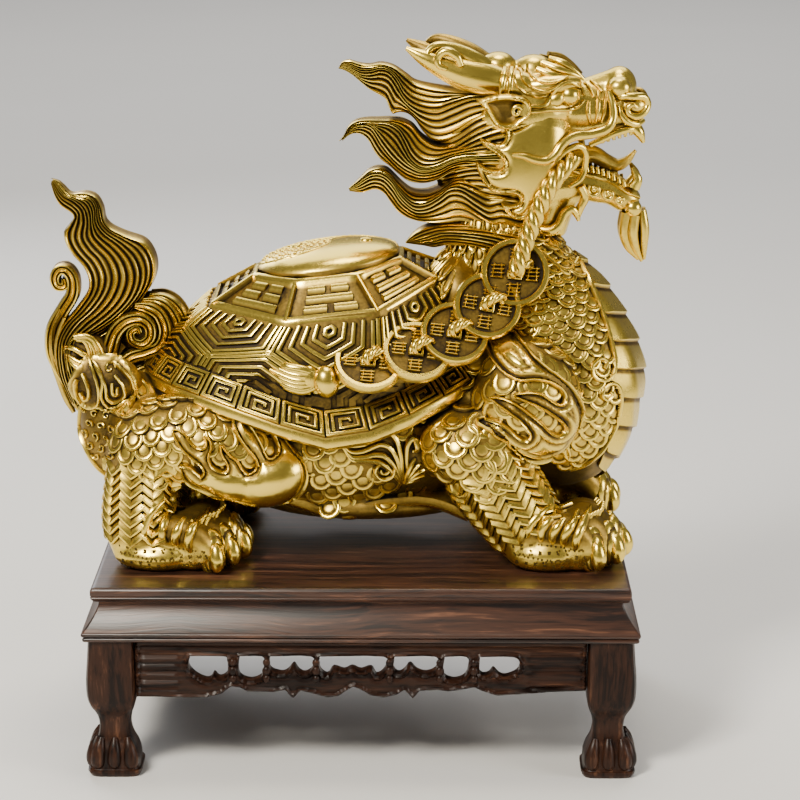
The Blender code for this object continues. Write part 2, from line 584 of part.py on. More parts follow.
def rounded_hole(low, high, bottom, top, cusp=0.0):
    """The outline of a pierced slot with rounded ends, and a cusp that rises from the middle of its lower edge."""
    corner = min((high - low), (top - bottom)) * 0.42
    points = []
    for centre_x, centre_z, start in (
        (high - corner, top - corner, 0.0),
        (low + corner, top - corner, 90.0),
        (low + corner, bottom + corner, 180.0),
        (high - corner, bottom + corner, 270.0),
    ):
        for step in range(3):
            angle = math.radians(start + step * 45.0)
            points.append((centre_x + corner * math.cos(angle), centre_z + corner * math.sin(angle)))
        if start == 180.0 and cusp:
            middle = (low + high) / 2.0
            points += [(middle - 2.0, bottom), (middle, bottom + cusp), (middle + 2.0, bottom)]
    return points


def apron(name, half_length, centre, turned, holes):
    """A pierced board between two legs, with a scalloped lower edge, made as a flat outline with thickness."""
    top = LEDGE_BOTTOM - FIT_GAP
    lower_edge = []
    count = 20
    for k in range(count + 1):
        share = -1.0 + 2.0 * k / count
        distance = abs(share) * half_length
        end = max(0.0, 1.0 - (half_length - distance) / 16.0)
        z = 45.0 + 2.2 * math.cos(distance * 2.0 * math.pi / 38.0) - 5.0 * end
        lower_edge.append((share * half_length, z))
    outline = [(half_length, top), (-half_length, top), *lower_edge]
    curve = bpy.data.curves.new(name, "CURVE")
    curve.dimensions = "2D"
    curve.fill_mode = "BOTH"
    curve.extrude = APRON_THICKNESS / 2.0 * MM
    for points in [outline, *holes]:
        spline = curve.splines.new("POLY")
        spline.points.add(len(points) - 1)
        for point, (x, z) in zip(spline.points, points):
            point.co = (x * MM, z * MM, 0.0, 1.0)
        spline.use_cyclic_u = True
    board = add_object(name, curve, piece_collection)
    board.rotation_euler = (math.radians(90.0), 0.0, math.radians(90.0) if turned else 0.0)
    board.location = tuple(v * MM for v in centre)
    plain = settle(board)
    shape_collection.objects.unlink(plain)
    piece_collection.objects.link(plain)
    plain.name = name
    finish_piece(plain, DARK_WOOD)


def aprons():
    """The four boards between the legs: long ones with seven piercings, short ones with three."""
    floor_z, roof_z = 50.5, 62.0
    pair = [(66.0, 82.0, 3.0), (47.0, 57.0, 0.0), (19.0, 41.0, 3.6)]
    long_holes = [rounded_hole(low, high, floor_z, roof_z, cusp) for low, high, cusp in pair]
    long_holes += [rounded_hole(-high, -low, floor_z, roof_z, cusp) for low, high, cusp in pair]
    long_holes.append(rounded_hole(-13.0, 13.0, floor_z + 1.5, roof_z, 3.6))
    short_holes = [rounded_hole(low, high, floor_z, roof_z, 3.0) for low, high in ((-44.0, -24.0), (-11.0, 11.0), (24.0, 44.0))]
    inner_x = TOP_HALF_LENGTH + LEDGE_OUTSET - 1.0 - 25.2 - FIT_GAP
    inner_y = TOP_HALF_DEPTH + LEDGE_OUTSET - 1.0 - 25.2 - FIT_GAP
    face_y = TOP_HALF_DEPTH + LEDGE_OUTSET - 4.5 - APRON_THICKNESS / 2.0
    face_x = TOP_HALF_LENGTH + LEDGE_OUTSET - 4.5 - APRON_THICKNESS / 2.0
    apron("stand_apron_front", inner_x, (STAND_MIDDLE_X, -face_y, 0.0), False, long_holes)
    apron("stand_apron_back", inner_x, (STAND_MIDDLE_X, face_y, 0.0), False, long_holes)
    apron("stand_apron_left", inner_y, (STAND_MIDDLE_X - face_x, 0.0, 0.0), True, short_holes)
    apron("stand_apron_right", inner_y, (STAND_MIDDLE_X + face_x, 0.0, 0.0), True, short_holes)


body()
shell()
hind_legs()
fore_legs()
flames()
head()
mane()
tail()
coin_string()
cast_figure()
boards()
legs()
aprons()
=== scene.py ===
"""Looks of a brass dragon turtle on a carved stand of dark wood.

Lengths are in millimetres while a piece is modelled, and become metres in its mesh.
+X runs to the head, -Y is the near side and +Z is up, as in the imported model.
"""

import json
import math

import bmesh
import bpy
import numpy as np
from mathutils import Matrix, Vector
from mathutils.bvhtree import BVHTree
from mathutils.geometry import delaunay_2d_cdt

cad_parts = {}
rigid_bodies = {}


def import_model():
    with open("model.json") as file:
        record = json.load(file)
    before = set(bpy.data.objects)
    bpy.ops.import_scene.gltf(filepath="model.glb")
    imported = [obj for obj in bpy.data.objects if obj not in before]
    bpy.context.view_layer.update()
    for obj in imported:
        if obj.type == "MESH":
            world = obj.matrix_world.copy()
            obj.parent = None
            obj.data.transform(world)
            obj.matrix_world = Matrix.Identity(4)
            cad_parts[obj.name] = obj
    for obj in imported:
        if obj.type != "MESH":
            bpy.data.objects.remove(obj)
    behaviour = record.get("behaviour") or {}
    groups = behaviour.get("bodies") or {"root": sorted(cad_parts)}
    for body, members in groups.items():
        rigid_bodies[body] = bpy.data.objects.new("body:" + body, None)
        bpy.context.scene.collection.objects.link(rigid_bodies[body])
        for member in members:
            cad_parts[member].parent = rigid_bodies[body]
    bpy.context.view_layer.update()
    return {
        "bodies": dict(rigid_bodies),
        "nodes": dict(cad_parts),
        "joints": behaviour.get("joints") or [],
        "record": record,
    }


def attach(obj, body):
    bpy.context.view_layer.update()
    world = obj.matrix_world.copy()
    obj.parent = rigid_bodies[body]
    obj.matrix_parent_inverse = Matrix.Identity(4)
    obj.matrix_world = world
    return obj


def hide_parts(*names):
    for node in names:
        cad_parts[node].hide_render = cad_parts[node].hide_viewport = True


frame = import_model()

# The studio: a pale sweep of card under the figure, soft boxes round it, and a camera
# on a tripod a little above the figure, with a long lens.
CAMERA_PLACE = (0.040, -1.341, 0.5286)
CAMERA_PITCH_DOWN = 14.8
CAMERA_TURN = 0.5
CAMERA_LENS = 119.25
FLOOR_HALF_WIDTH = 9.0
FLOOR_COLOUR = (0.70, 0.69, 0.67, 1.0)
SOFT_BOXES = [
    ("key_box", (-0.65, -1.0, 1.2), (0.0, 0.0, 0.2), 0.4, 38.0, (1.0, 0.94, 0.82)),
    ("side_box", (1.2, -0.5, 0.5), (0.03, 0.0, 0.2), 0.5, 9.0, (1.0, 0.96, 0.9)),
    ("top_box", (0.1, 0.15, 1.4), (0.0, 0.0, 0.2), 0.5, 9.0, (1.0, 0.92, 0.78)),
    ("back_box", (-0.6, 1.1, 0.75), (0.0, 0.0, 0.2), 0.6, 7.0, (0.97, 0.98, 1.0)),
    ("backdrop_box", (0.0, 2.6, 2.4), (0.0, 2.6, 0.0), 3.0, 75.0, (1.0, 0.99, 0.98)),
]

camera = bpy.data.objects.new("photo_camera", bpy.data.cameras.new("photo_camera"))
bpy.context.scene.collection.objects.link(camera)
camera.location = CAMERA_PLACE
camera.rotation_euler = (math.radians(90.0 - CAMERA_PITCH_DOWN), 0.0, math.radians(CAMERA_TURN))
camera.data.lens = CAMERA_LENS
camera.data.sensor_width = 36.0
camera.data.clip_end = 50.0
bpy.context.scene.camera = camera

for name, place, target, size, power, colour in SOFT_BOXES:
    lamp = bpy.data.lights.new(name, "AREA")
    lamp.size = size
    lamp.energy = power
    lamp.color = colour
    box = bpy.data.objects.new(name, lamp)
    bpy.context.scene.collection.objects.link(box)
    box.location = place
    box.rotation_euler = (Vector(target) - Vector(place)).to_track_quat("-Z", "Y").to_euler()

world = bpy.data.worlds.new("studio walls")
bpy.context.scene.world = world
world.use_nodes = True
world.node_tree.nodes["Background"].inputs["Color"].default_value = (1.0, 0.97, 0.93, 1.0)
world.node_tree.nodes["Background"].inputs["Strength"].default_value = 0.17

floor_mesh = bpy.data.meshes.new("floor")
half = FLOOR_HALF_WIDTH
floor_mesh.from_pydata(
    [(-half, -half, 0), (half, -half, 0), (half, half, 0), (-half, half, 0)], [], [(0, 1, 2, 3)]
)
floor = bpy.data.objects.new("floor", floor_mesh)
bpy.context.scene.collection.objects.link(floor)
card = bpy.data.materials.new("pale card")
card.use_nodes = True
card_nodes = card.node_tree.nodes
card_links = card.node_tree.links
card_fibres = card_nodes.new("ShaderNodeTexNoise")
card_fibres.inputs["Scale"].default_value = 60.0
card_tint = card_nodes.new("ShaderNodeMix")
card_tint.data_type = "RGBA"
card_tint.inputs["A"].default_value = FLOOR_COLOUR
card_tint.inputs["B"].default_value = (0.73, 0.72, 0.70, 1.0)
card_links.new(card_fibres.outputs["Fac"], card_tint.inputs["Factor"])
card_links.new(card_tint.outputs["Result"], card_nodes["Principled BSDF"].inputs["Base Color"])
card_nodes["Principled BSDF"].inputs["Roughness"].default_value = 0.8
floor_mesh.materials.append(card)


# Body, legs and paws: one brass casting, poured round wax forms that the modeller blended with
# a warm tool. The carved fields between the raised work keep the dark patina.
MM = 0.001
THINNEST = 0.9
PAD_TOP = 112.0
SHANK_FOOT = 119.0
BODY_VOXEL = 2.0
BRASS_RUBBED = (0.97, 0.71, 0.11, 1.0)
PAW_FLOOR = 100.3
PAW_INNER_Y = -40.0
# Claws of the near paws: where each is, and how many degrees it is turned from the head to the near side
HIND_CLAWS = [(-66.5, -61, 108, 62), (-61, -53, 108.5, 38), (-57, -44, 109, 12), (-57, -35, 109, -14)]
FORE_CLAWS = [
    (126, -60, 109.5, 58), (134.5, -52.5, 110, 34), (138, -43.5, 110.5, 8), (137, -34.5, 110, -16)
]


def curve(points, steps=6):
    """A smooth line through these rows, which may hold more columns than three."""
    rows = np.array(points, float)
    rows = np.vstack([2 * rows[0] - rows[1], rows, 2 * rows[-1] - rows[-2]])
    t = (np.arange(steps) / steps)[:, None]
    found = []
    for before, here, after, beyond in zip(rows, rows[1:], rows[2:], rows[3:]):
        bend = (after - before) * t + (2 * before - 5 * here + 4 * after - beyond) * t**2
        found.append(here + 0.5 * (bend + (3 * here - before - 3 * after + beyond) * t**3))
    return np.vstack([*found, rows[-2:-1]])


def unit(vectors):
    """The same directions with length one."""
    return vectors / np.maximum(np.linalg.norm(vectors, axis=-1, keepdims=True), 1e-9)


def ball(centre, radii, turn=0.0, rings=16, around=24):
    """An ellipsoid, turned in the side view by this many degrees, nose up when positive."""
    down = np.linspace(0.05, math.pi - 0.05, rings)[:, None]
    round_angle = np.arange(around) * 2 * math.pi / around
    x = np.sin(down) * np.cos(round_angle) * radii[0]
    y = np.sin(down) * np.sin(round_angle) * radii[1]
    z = np.cos(down) * np.ones(around) * radii[2]
    c, s = math.cos(math.radians(turn)), math.sin(math.radians(turn))
    return np.stack([x * c - z * s, y, x * s + z * c], axis=-1) + centre


def ridge(line, width, height, section, up=(0.0, -1.0, 0.0)):
    """Rings of points that draw a section along a line. The section's rows are across, raised and polish."""
    line = np.asarray(line, float)[:, :3]
    along = unit(np.gradient(line, axis=0))
    side = unit(np.cross(along, np.broadcast_to(up, line.shape)))
    proud = np.cross(side, along)
    section = np.asarray(section)
    across = section[:, 0] * np.broadcast_to(width, len(line))[:, None]
    raised = section[:, 1] * np.broadcast_to(height, len(line))[:, None]
    return line[:, None] + side[:, None] * across[..., None] + proud[:, None] * raised[..., None]


ROUND = [(math.cos(a), math.sin(a), 0.5 + 0.5 * math.sin(a)) for a in np.arange(12) * 2 * math.pi / 12]


def lock(points, flat=1.0, steps=5):
    """A tapering tube through (x, y, z, radius) rows, flattened across the figure by this share."""
    line = curve(points, steps)
    size = np.maximum(line[:, 3], THINNEST)
    rings = ridge(line, size, size, ROUND)
    centre = line[:, None, 1]
    rings[..., 1] = centre + (rings[..., 1] - centre) * flat
    return rings


def resampled(line, count):
    """The line with this many points, evenly spaced along it."""
    line = np.asarray(line, float)
    length = np.concatenate([[0], np.cumsum(np.linalg.norm(np.diff(line, axis=0), axis=1))])
    even = np.linspace(0, length[-1], count)
    return np.stack([np.interp(even, length, line[:, k]) for k in range(line.shape[1])], axis=-1)


def polish_of(section):
    """The polish column of a section."""
    return np.asarray(section)[:, 2]


def mirrored(rings):
    """The same rings on the far side."""
    return rings * (1.0, -1.0, 1.0)


class Wax:
    """Wax pressed together for one piece: points in millimetres, faces, and each point's polish."""

    def __init__(self):
        self.points = []
        self.quads = []
        self.caps = []
        self.polish = []
        self.count = 0

    def press(self, points, faces, polish):
        """Adds a plain mesh."""
        points = np.asarray(points, float).reshape(-1, 3)
        self.points.append(points)
        self.quads.extend(tuple(corner + self.count for corner in face) for face in faces)
        self.polish.append(np.broadcast_to(polish, len(points)))
        self.count += len(points)

    def roll(self, rings, polish, closed=False, both=False):
        """Adds tubes. Their axes are tube (may be left out), ring, point of the ring and x, y, z."""
        rings = np.asarray(rings, float)
        if rings.ndim == 3:
            rings = rings[None]
        tubes, length, around = rings.shape[:3]
        index = np.arange(tubes * length * around).reshape(tubes, length, around) + self.count
        first = index if closed else index[:, :-1]
        second = np.roll(index, -1, axis=1) if closed else index[:, 1:]
        turn = np.roll(first, -1, axis=2), np.roll(second, -1, axis=2)
        self.quads.extend(np.stack([first, turn[0], turn[1], second], axis=-1).reshape(-1, 4).tolist())
        if not closed:
            self.caps.extend(index[:, 0, ::-1].tolist())
            self.caps.extend(index[:, -1].tolist())
        self.points.append(rings.reshape(-1, 3))
        self.polish.append(np.broadcast_to(polish, rings.shape[:3]).ravel())
        self.count += tubes * length * around
        if both:
            self.roll(mirrored(rings), polish, closed)

    def rib(self, line, width, height, section, up, closed=False, both=True):
        """Adds a ridge of this section, with the section's own polish."""
        self.roll(ridge(line, width, height, section, up), polish_of(section), closed, both)

    def mesh(self, name):
        """The wax as a mesh in millimetres, with its faces turned outwards."""
        mesh = bpy.data.meshes.new(name)
        mesh.from_pydata(np.vstack(self.points).tolist(), [], self.quads + self.caps)
        bm = bmesh.new()
        bm.from_mesh(mesh)
        bmesh.ops.recalc_face_normals(bm, faces=bm.faces)
        bm.to_mesh(mesh)
        bm.free()
        return mesh

    def cast(self, name, material, crease=40.0):
        """The finished piece."""
        mesh = self.mesh(name)
        shine = mesh.attributes.new("polish", "FLOAT", "POINT")
        shine.data.foreach_set("value", np.concatenate(self.polish).astype(np.float32))
        return finished(name, mesh, material, crease)


def finished(name, mesh, material, crease=40.0):
    """A piece from a mesh in millimetres, shaded smooth up to the crease angle."""
    points = np.zeros(len(mesh.vertices) * 3, np.float32)
    mesh.vertices.foreach_get("co", points)
    mesh.vertices.foreach_set("co", points * MM)
    mesh.update()
    mesh.materials.append(material)
    mesh.shade_smooth()
    mesh.set_sharp_from_angle(angle=math.radians(crease))
    piece = bpy.data.objects.new(name, mesh)
    bpy.context.scene.collection.objects.link(piece)
    return piece


def blended(shapes, voxel, ease=3):
    """Points and faces of one smooth skin over closed shapes that overlap."""
    wax = Wax()
    for shape in shapes:
        wax.roll(shape, 0.0)
    rough = bpy.data.objects.new("rough wax", wax.mesh("rough wax"))
    bpy.context.scene.collection.objects.link(rough)
    fuse = rough.modifiers.new("fuse", "REMESH")
    fuse.mode = "VOXEL"
    fuse.voxel_size = voxel
    smooth = rough.modifiers.new("ease", "SMOOTH")
    smooth.factor = 0.5
    smooth.iterations = ease
    bpy.context.view_layer.update()
    skin = bpy.data.meshes.new_from_object(rough.evaluated_get(bpy.context.evaluated_depsgraph_get()))
    points = np.zeros(len(skin.vertices) * 3, np.float32)
    skin.vertices.foreach_get("co", points)
    faces = np.zeros(len(skin.polygons) * 4, np.int32)
    skin.polygons.foreach_get("vertices", faces)
    bpy.data.objects.remove(rough)
    bpy.data.meshes.remove(skin)
    return points.reshape(-1, 3).astype(float), faces.reshape(-1, 4).tolist()


def both_of(shapes):
    """These shapes and their mirror images on the far side."""
    return [made for shape in shapes for made in (shape, mirrored(shape))]


def group_socket(tree, kind, name, value=None, way="INPUT"):
    """A named socket on a node group."""
    made = tree.interface.new_socket(name=name, in_out=way, socket_type="NodeSocket" + kind)
    if value is not None:
        made.default_value = value
    return made


def node(tree, kind, settings=(), **values):
    """A node with these settings and input values. A value that is a socket is linked."""
    made = tree.nodes.new("ShaderNode" + kind)
    for name, value in dict(settings).items():
        setattr(made, name, value)
    for name, value in values.items():
        name = name.replace("_", " ")
        socket = made.inputs[int(name[1:])] if name[0] == "i" and name[1:].isdigit() else made.inputs[name]
        if isinstance(value, bpy.types.NodeSocket):
            tree.links.new(value, socket)
        else:
            socket.default_value = value
    return made


def math_node(tree, operation, first, second=0.0):
    """The result of a Math node."""
    return node(tree, "Math", {"operation": operation}, i0=first, i1=second).outputs[0]


# Old patina lies in the hollows and is rubbed off what stands proud.
patina = bpy.data.node_groups.new("rubbed patina", "ShaderNodeTree")
group_socket(patina, "Float", "Polish", 0.5)
group_socket(patina, "Float", "Hollow reach", 0.004)
group_socket(patina, "Float", "Stain scale", 55.0)
group_socket(patina, "Color", "Rubbed", BRASS_RUBBED)
group_socket(patina, "Color", "Worn", (0.40, 0.255, 0.045, 1.0))
group_socket(patina, "Color", "Hollow", (0.016, 0.009, 0.003, 1.0))
for kind, name in (("Color", "Colour"), ("Float", "Roughness"), ("Float", "Metallic"), ("Float", "Height")):
    group_socket(patina, kind, name, way="OUTPUT")
given = patina.nodes.new("NodeGroupInput").outputs
shown = patina.nodes.new("NodeGroupOutput").inputs
place = patina.nodes.new("ShaderNodeTexCoord").outputs["Object"]
hollow = node(patina, "AmbientOcclusion", {"samples": 8}, Distance=given["Hollow reach"]).outputs["AO"]
stain = node(patina, "TexNoise", {}, Vector=place, Scale=given["Stain scale"], Detail=4.0).outputs["Fac"]
pits = node(patina, "TexNoise", {}, Vector=place, Scale=700.0, Detail=3.0).outputs["Fac"]
open_share = node(
    patina, "MapRange", {"interpolation_type": "SMOOTHSTEP"}, Value=hollow, From_Min=0.25, From_Max=0.92
).outputs["Result"]
rub = math_node(patina, "MULTIPLY", open_share, 0.36)
rub = math_node(patina, "ADD", rub, math_node(patina, "MULTIPLY", given["Polish"], 0.62))
rub = math_node(
    patina, "ADD", rub, math_node(patina, "MULTIPLY", math_node(patina, "SUBTRACT", stain, 0.5), 0.42)
)
rub = math_node(
    patina, "ADD", rub, math_node(patina, "MULTIPLY", math_node(patina, "SUBTRACT", pits, 0.5), 0.2)
)
low = node(
    patina, "MapRange", {"interpolation_type": "SMOOTHSTEP"}, Value=rub, From_Min=0.20, From_Max=0.62
).outputs["Result"]
high = node(
    patina, "MapRange", {"interpolation_type": "SMOOTHSTEP"}, Value=rub, From_Min=0.48, From_Max=0.94
).outputs["Result"]
earth = node(
    patina, "Mix", {"data_type": "RGBA"}, Factor=low, i6=given["Hollow"], i7=given["Worn"]
).outputs[2]
metal = node(patina, "Mix", {"data_type": "RGBA"}, Factor=high, i6=earth, i7=given["Rubbed"]).outputs[2]
patina.links.new(metal, shown["Colour"])
rough = node(
    patina, "MapRange", {}, Value=rub, From_Min=0.1, From_Max=0.95, To_Min=0.6, To_Max=0.24
).outputs["Result"]
rough = math_node(
    patina, "ADD", rough, math_node(patina, "MULTIPLY", math_node(patina, "SUBTRACT", pits, 0.5), 0.16)
)
patina.links.new(rough, shown["Roughness"])
bare = node(
    patina, "MapRange", {}, Value=rub, From_Min=0.05, From_Max=0.5, To_Min=0.55, To_Max=1.0
).outputs["Result"]
patina.links.new(bare, shown["Metallic"])
patina.links.new(
    math_node(
        patina, "ADD", math_node(patina, "MULTIPLY", stain, 0.6), math_node(patina, "MULTIPLY", pits, 0.4)
    ),
    shown["Height"]
)


def brass_finish(name, reach=0.0032, stain=55.0, rubbed=BRASS_RUBBED, bump=0.12):
    """A brass material with its own reach of patina and depth of casting texture."""
    made = bpy.data.materials.new(name)
    made.use_nodes = True
    tree = made.node_tree
    shader = tree.nodes["Principled BSDF"]
    shine = node(tree, "Attribute", {"attribute_name": "polish"}).outputs["Fac"]
    skin = tree.nodes.new("ShaderNodeGroup")
    skin.node_tree = patina
    tree.links.new(shine, skin.inputs["Polish"])
    skin.inputs["Hollow reach"].default_value = reach
    skin.inputs["Stain scale"].default_value = stain
    skin.inputs["Rubbed"].default_value = rubbed
    tree.links.new(skin.outputs["Colour"], shader.inputs["Base Color"])
    tree.links.new(skin.outputs["Roughness"], shader.inputs["Roughness"])
    tree.links.new(skin.outputs["Metallic"], shader.inputs["Metallic"])
    grain = node(
        tree, "Bump", {}, Strength=bump, Distance=0.0006, Height=skin.outputs["Height"]
    ).outputs["Normal"]
    tree.links.new(grain, shader.inputs["Normal"])
    return made


carved_brass = brass_finish("carved brass")

trunk = [
    ball((-14, 0, 160), (100, 55, 43), rings=24, around=40),
    ball((-80, 0, 162), (46, 44, 34)),
    ball((60, 0, 170), (50, 46, 42)),
    ball((10, 0, 127), (66, 44, 12)),
    ball((58, 0, 234), (15, 30, 22)),
    lock(
        [
            (112, 0, 130, 8), (113, 0, 141, 27), (111, 0, 154, 41), (106, 0, 174, 50), (103, 0, 196, 50),
            (97, 0, 220, 42), (86, 0, 243, 31), (78, 0, 262, 25), (84, 0, 288, 22),
        ],
        flat=0.8,
    ),
    *both_of([ball((-112, -20, 166), (25, 22, 30))]),
]
haunch = [
    ball((-70, -42, 163), (46, 23, 24), -9),
    ball((-100, -38, 160), (22, 24, 25)),
    ball((-38, -44, 148), (22.5, 19.5, 14.5), 14),
    ball((-61, -46, 149), (24, 17.5, 10.5), -20),
    ball((-121, -31, 192), (18, 11, 14)),
    lock(
        [(-99, -42, 160, 19), (-103, -44, 140, 18.5), (-104, -45, 122, 19), (-101, -46, 108, 18)], flat=0.95
    ),
    ball((-94, -52, 107), (24, 15, 9)),
    ball((-76, -52, 110), (12, 15, 12)),
]
shoulder = [
    ball((93, -41, 186), (27, 24, 32)),
    ball((64, -42, 163), (27, 23, 21)),
    lock([(66, -42, 168, 26), (76, -43, 145, 23), (89, -45, 126, 20.5), (98, -46, 112, 18)], flat=0.9),
    ball((104, -52, 108), (22, 15, 10)),
    ball((120, -52, 112), (12, 15, 14)),
]
for claws, paw_group in ((HIND_CLAWS, haunch), (FORE_CLAWS, shoulder)):
    for x, y, z, _ in claws:
        paw_group.append(
            lock(
                [
                    (x - 24, y * 0.7 - 14, z + 11, 8), (x - 14, y, z + 14, 8), (x - 5, y, z + 7, 7.5),
                    (x - 1, y, z - 2, 6.5)
                ]
            )
        )
body_points, body_faces = blended([*trunk, *both_of(haunch + shoulder)], BODY_VOXEL, 3)
body_points[:, 2] = np.maximum(body_points[:, 2], PAW_FLOOR)
body_skin = BVHTree.FromPolygons(body_points.tolist(), body_faces)

body = Wax()
body.press(body_points, body_faces, np.interp(body_points[:, 2], (PAD_TOP, SHANK_FOOT), (0.8, 0.12)))
casting_body = body.cast("casting_body", carved_brass)
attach(casting_body, "root")
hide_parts("dragon_turtle")


# Scales: rows of overlapping plates on thighs, belly, shoulders and chest, pressed into the wax one by one.
# Each is an inner lobe, a groove and a raised band, and its free edge points down.
SCALE_SIDES = 12
SCALE_RINGS = [
    (0.14, 0.44, 0.62), (0.36, 0.40, 0.62), (0.48, 0.26, 0.40), (0.55, 0.00, 0.00), (0.62, 0.20, 0.40),
    (0.73, 0.60, 0.95), (0.86, 0.68, 1.00), (0.96, 0.44, 0.80), (1.00, 0.00, 0.00), (0.98, -1.80, 0.00),
]


def towards(skin, origins, aims):
    """Where rays meet the skin: a place and a normal for each ray, or None where it misses."""
    found = []
    for origin, aim in zip(origins, aims):
        place, normal = skin.ray_cast(Vector(origin), Vector(aim))[:2]
        found.append(None if place is None else (np.array(place), np.array(normal)))
    return found


def round_axis(skin, start, end, pairs):
    """Where rays towards an axis meet the skin, for (distance along it, degrees from the near side) pairs."""
    start, end = np.array(start, float), np.array(end, float)
    along = unit(end - start)
    near = np.array((0.0, -1.0, 0.0))
    top = np.cross(near, along)
    pairs = np.asarray(pairs, float)
    angle = np.radians(pairs[:, 1:2])
    out = np.cos(angle) * near + np.sin(angle) * top
    middle = start + along * pairs[:, :1]
    return towards(skin, middle + out * 300.0, -out)


def staggered(rows, row_step, columns, column_step):
    """Pairs of row and column values in the bond of a brick wall."""
    found = []
    for count, row in enumerate(np.arange(rows[0], rows[1], row_step)):
        shift = 0.5 * column_step * (count % 2)
        found += [(row, column + shift) for column in np.arange(columns[0], columns[1], column_step)]
    return found


def lattice(start, first, second, counts):
    """(x, z) points from two steps of a slanted grid."""
    start, first, second = (np.array(v, float) for v in (start, first, second))
    return [start + first * i + second * j for i in range(*counts[0]) for j in range(*counts[1])]


def laid(skin, flat, depth=-45.0):
    """(x, z) rows put on the near side of a skin, or on its nearest point, with the normals there."""
    places, normals = [], []
    for x, z in flat:
        place, normal = skin.ray_cast(Vector((x, -300.0, z)), Vector((0.0, 1.0, 0.0)))[:2]
        if place is None or place.y > -3.0:
            place, normal = skin.find_nearest(Vector((x, depth, z)))[:2]
        places.append(place)
        normals.append(normal)
    return np.array(places), np.array(normals)


def inside(outline, x, z):
    """Which points of the side view lie in an outline."""
    x, z = np.asarray(x, float), np.asarray(z, float)
    odd = np.zeros(x.shape, bool)
    for (x1, z1), (x2, z2) in zip(outline, [*outline[1:], outline[0]]):
        if z1 != z2:
            odd ^= ((z1 > z) != (z2 > z)) & (x < x1 + (z - z1) / (z2 - z1) * (x2 - x1))
    return odd


def to_edge(loop, points):
    """How far each point is from a closed loop."""
    nearest = np.full(len(points), 1e9)
    for first, second in zip(loop, np.roll(loop, -1, axis=0)):
        span = second - first
        part = np.clip(((points - first) @ span) / max(span @ span, 1e-9), 0, 1)
        nearest = np.minimum(nearest, np.linalg.norm(points - first - part[:, None] * span, axis=1))
    return nearest


def press_scales(
    wax, places, normals, outline, width, length, rise, without=(), downhill=(0.0, 0.0, -1.0), tilt=0.25
):
    """Scales at the places inside the outline, on both sides. Width and length are half sizes."""
    places, normals = np.asarray(places, float), unit(np.asarray(normals, float))
    kept = inside(outline, places[:, 0], places[:, 2]) & (places[:, 1] < 0)
    low = np.ones(len(places))
    for other in without:
        gap = to_edge(np.array(other, float), places[:, ::2])
        low = np.minimum(low, np.clip(gap / 7.0, 0.35, 1.0))
        kept &= ~(inside(other, places[:, 0], places[:, 2]) & (gap > 1.5))
    centre, normal, low = places[kept], normals[kept], low[kept, None, None]
    tip = unit(np.array(downhill) - normal * (normal @ np.array(downhill))[:, None])
    side = np.cross(tip, normal)
    rings = np.array(SCALE_RINGS)
    angle = np.arange(SCALE_SIDES) * 2 * math.pi / SCALE_SIDES
    across = rings[:, 0, None] * np.sin(angle) * width
    down = rings[:, 0, None] * np.cos(angle) * length
    down = np.where(down < 0, down * 1.15, down)
    raised = (rings[:, 1, None] * rise + tilt * down) * low - (across**2 + down**2) / 110.0
    grid = (
        centre[:, None, None]
        + side[:, None, None] * across[..., None]
        + tip[:, None, None] * down[..., None]
        + normal[:, None, None] * raised[..., None]
    )
    wax.roll(grid, rings[:, 2, None] * np.ones(SCALE_SIDES), both=True)


def met(hits):
    """The places and normals of the rays that met a skin."""
    kept = [hit for hit in hits if hit is not None]
    return np.array([place for place, _ in kept]), np.array([normal for _, normal in kept])


KNEE_MANTLE = [
    (-81.3, 157.6), (-76.3, 156.6), (-72.7, 153.5), (-70.7, 151.7), (-69.4, 154.3), (-70.4, 157.3),
    (-73.6, 160.6),
    (-78.3, 164.2), (-82.1, 168.9), (-84.8, 174.3), (-79.4, 173.2), (-75.9, 168.9), (-72.4, 166.2),
    (-69.1, 166.2),
    (-68.1, 168.5), (-69.2, 171.5), (-66.6, 169.7), (-65.9, 166.2), (-67.3, 162.6), (-66.3, 158.1),
    (-62.8, 155.2),
    (-59.6, 154), (-57.5, 156.3), (-58.6, 159.9), (-60.5, 163.3), (-61.1, 167.5), (-57, 162.6),
    (-53.4, 159.7),
    (-50.8, 155.2), (-47.6, 152.2), (-44.2, 152.5), (-43.1, 156.3), (-44.8, 160.8), (-48.4, 165.4),
    (-52.5, 170.8),
    (-55, 176.2), (-55.8, 180.7), (-58.6, 184.3), (-62.3, 186.2), (-66.8, 187.7), (-60.9, 188),
    (-55.7, 187.4),
    (-51.4, 184.3), (-49.3, 179.8), (-48.4, 175.3), (-45.4, 171.7), (-42, 166.3), (-39.4, 160.9),
    (-36.8, 158),
    (-34.2, 158.9), (-32.6, 161.8), (-33.9, 166.3), (-36.7, 170.8), (-39, 175.3), (-34.7, 172.6),
    (-30.6, 169.9),
    (-26.9, 165.4), (-23.5, 160.9), (-20.2, 155.5), (-20.4, 147.3), (-24.1, 139.8), (-30.3, 134.8),
    (-39.1, 132.5),
    (-49.6, 134.0), (-60.9, 138.5), (-69.6, 143.5), (-76.6, 147.2), (-79.5, 150.8),
]
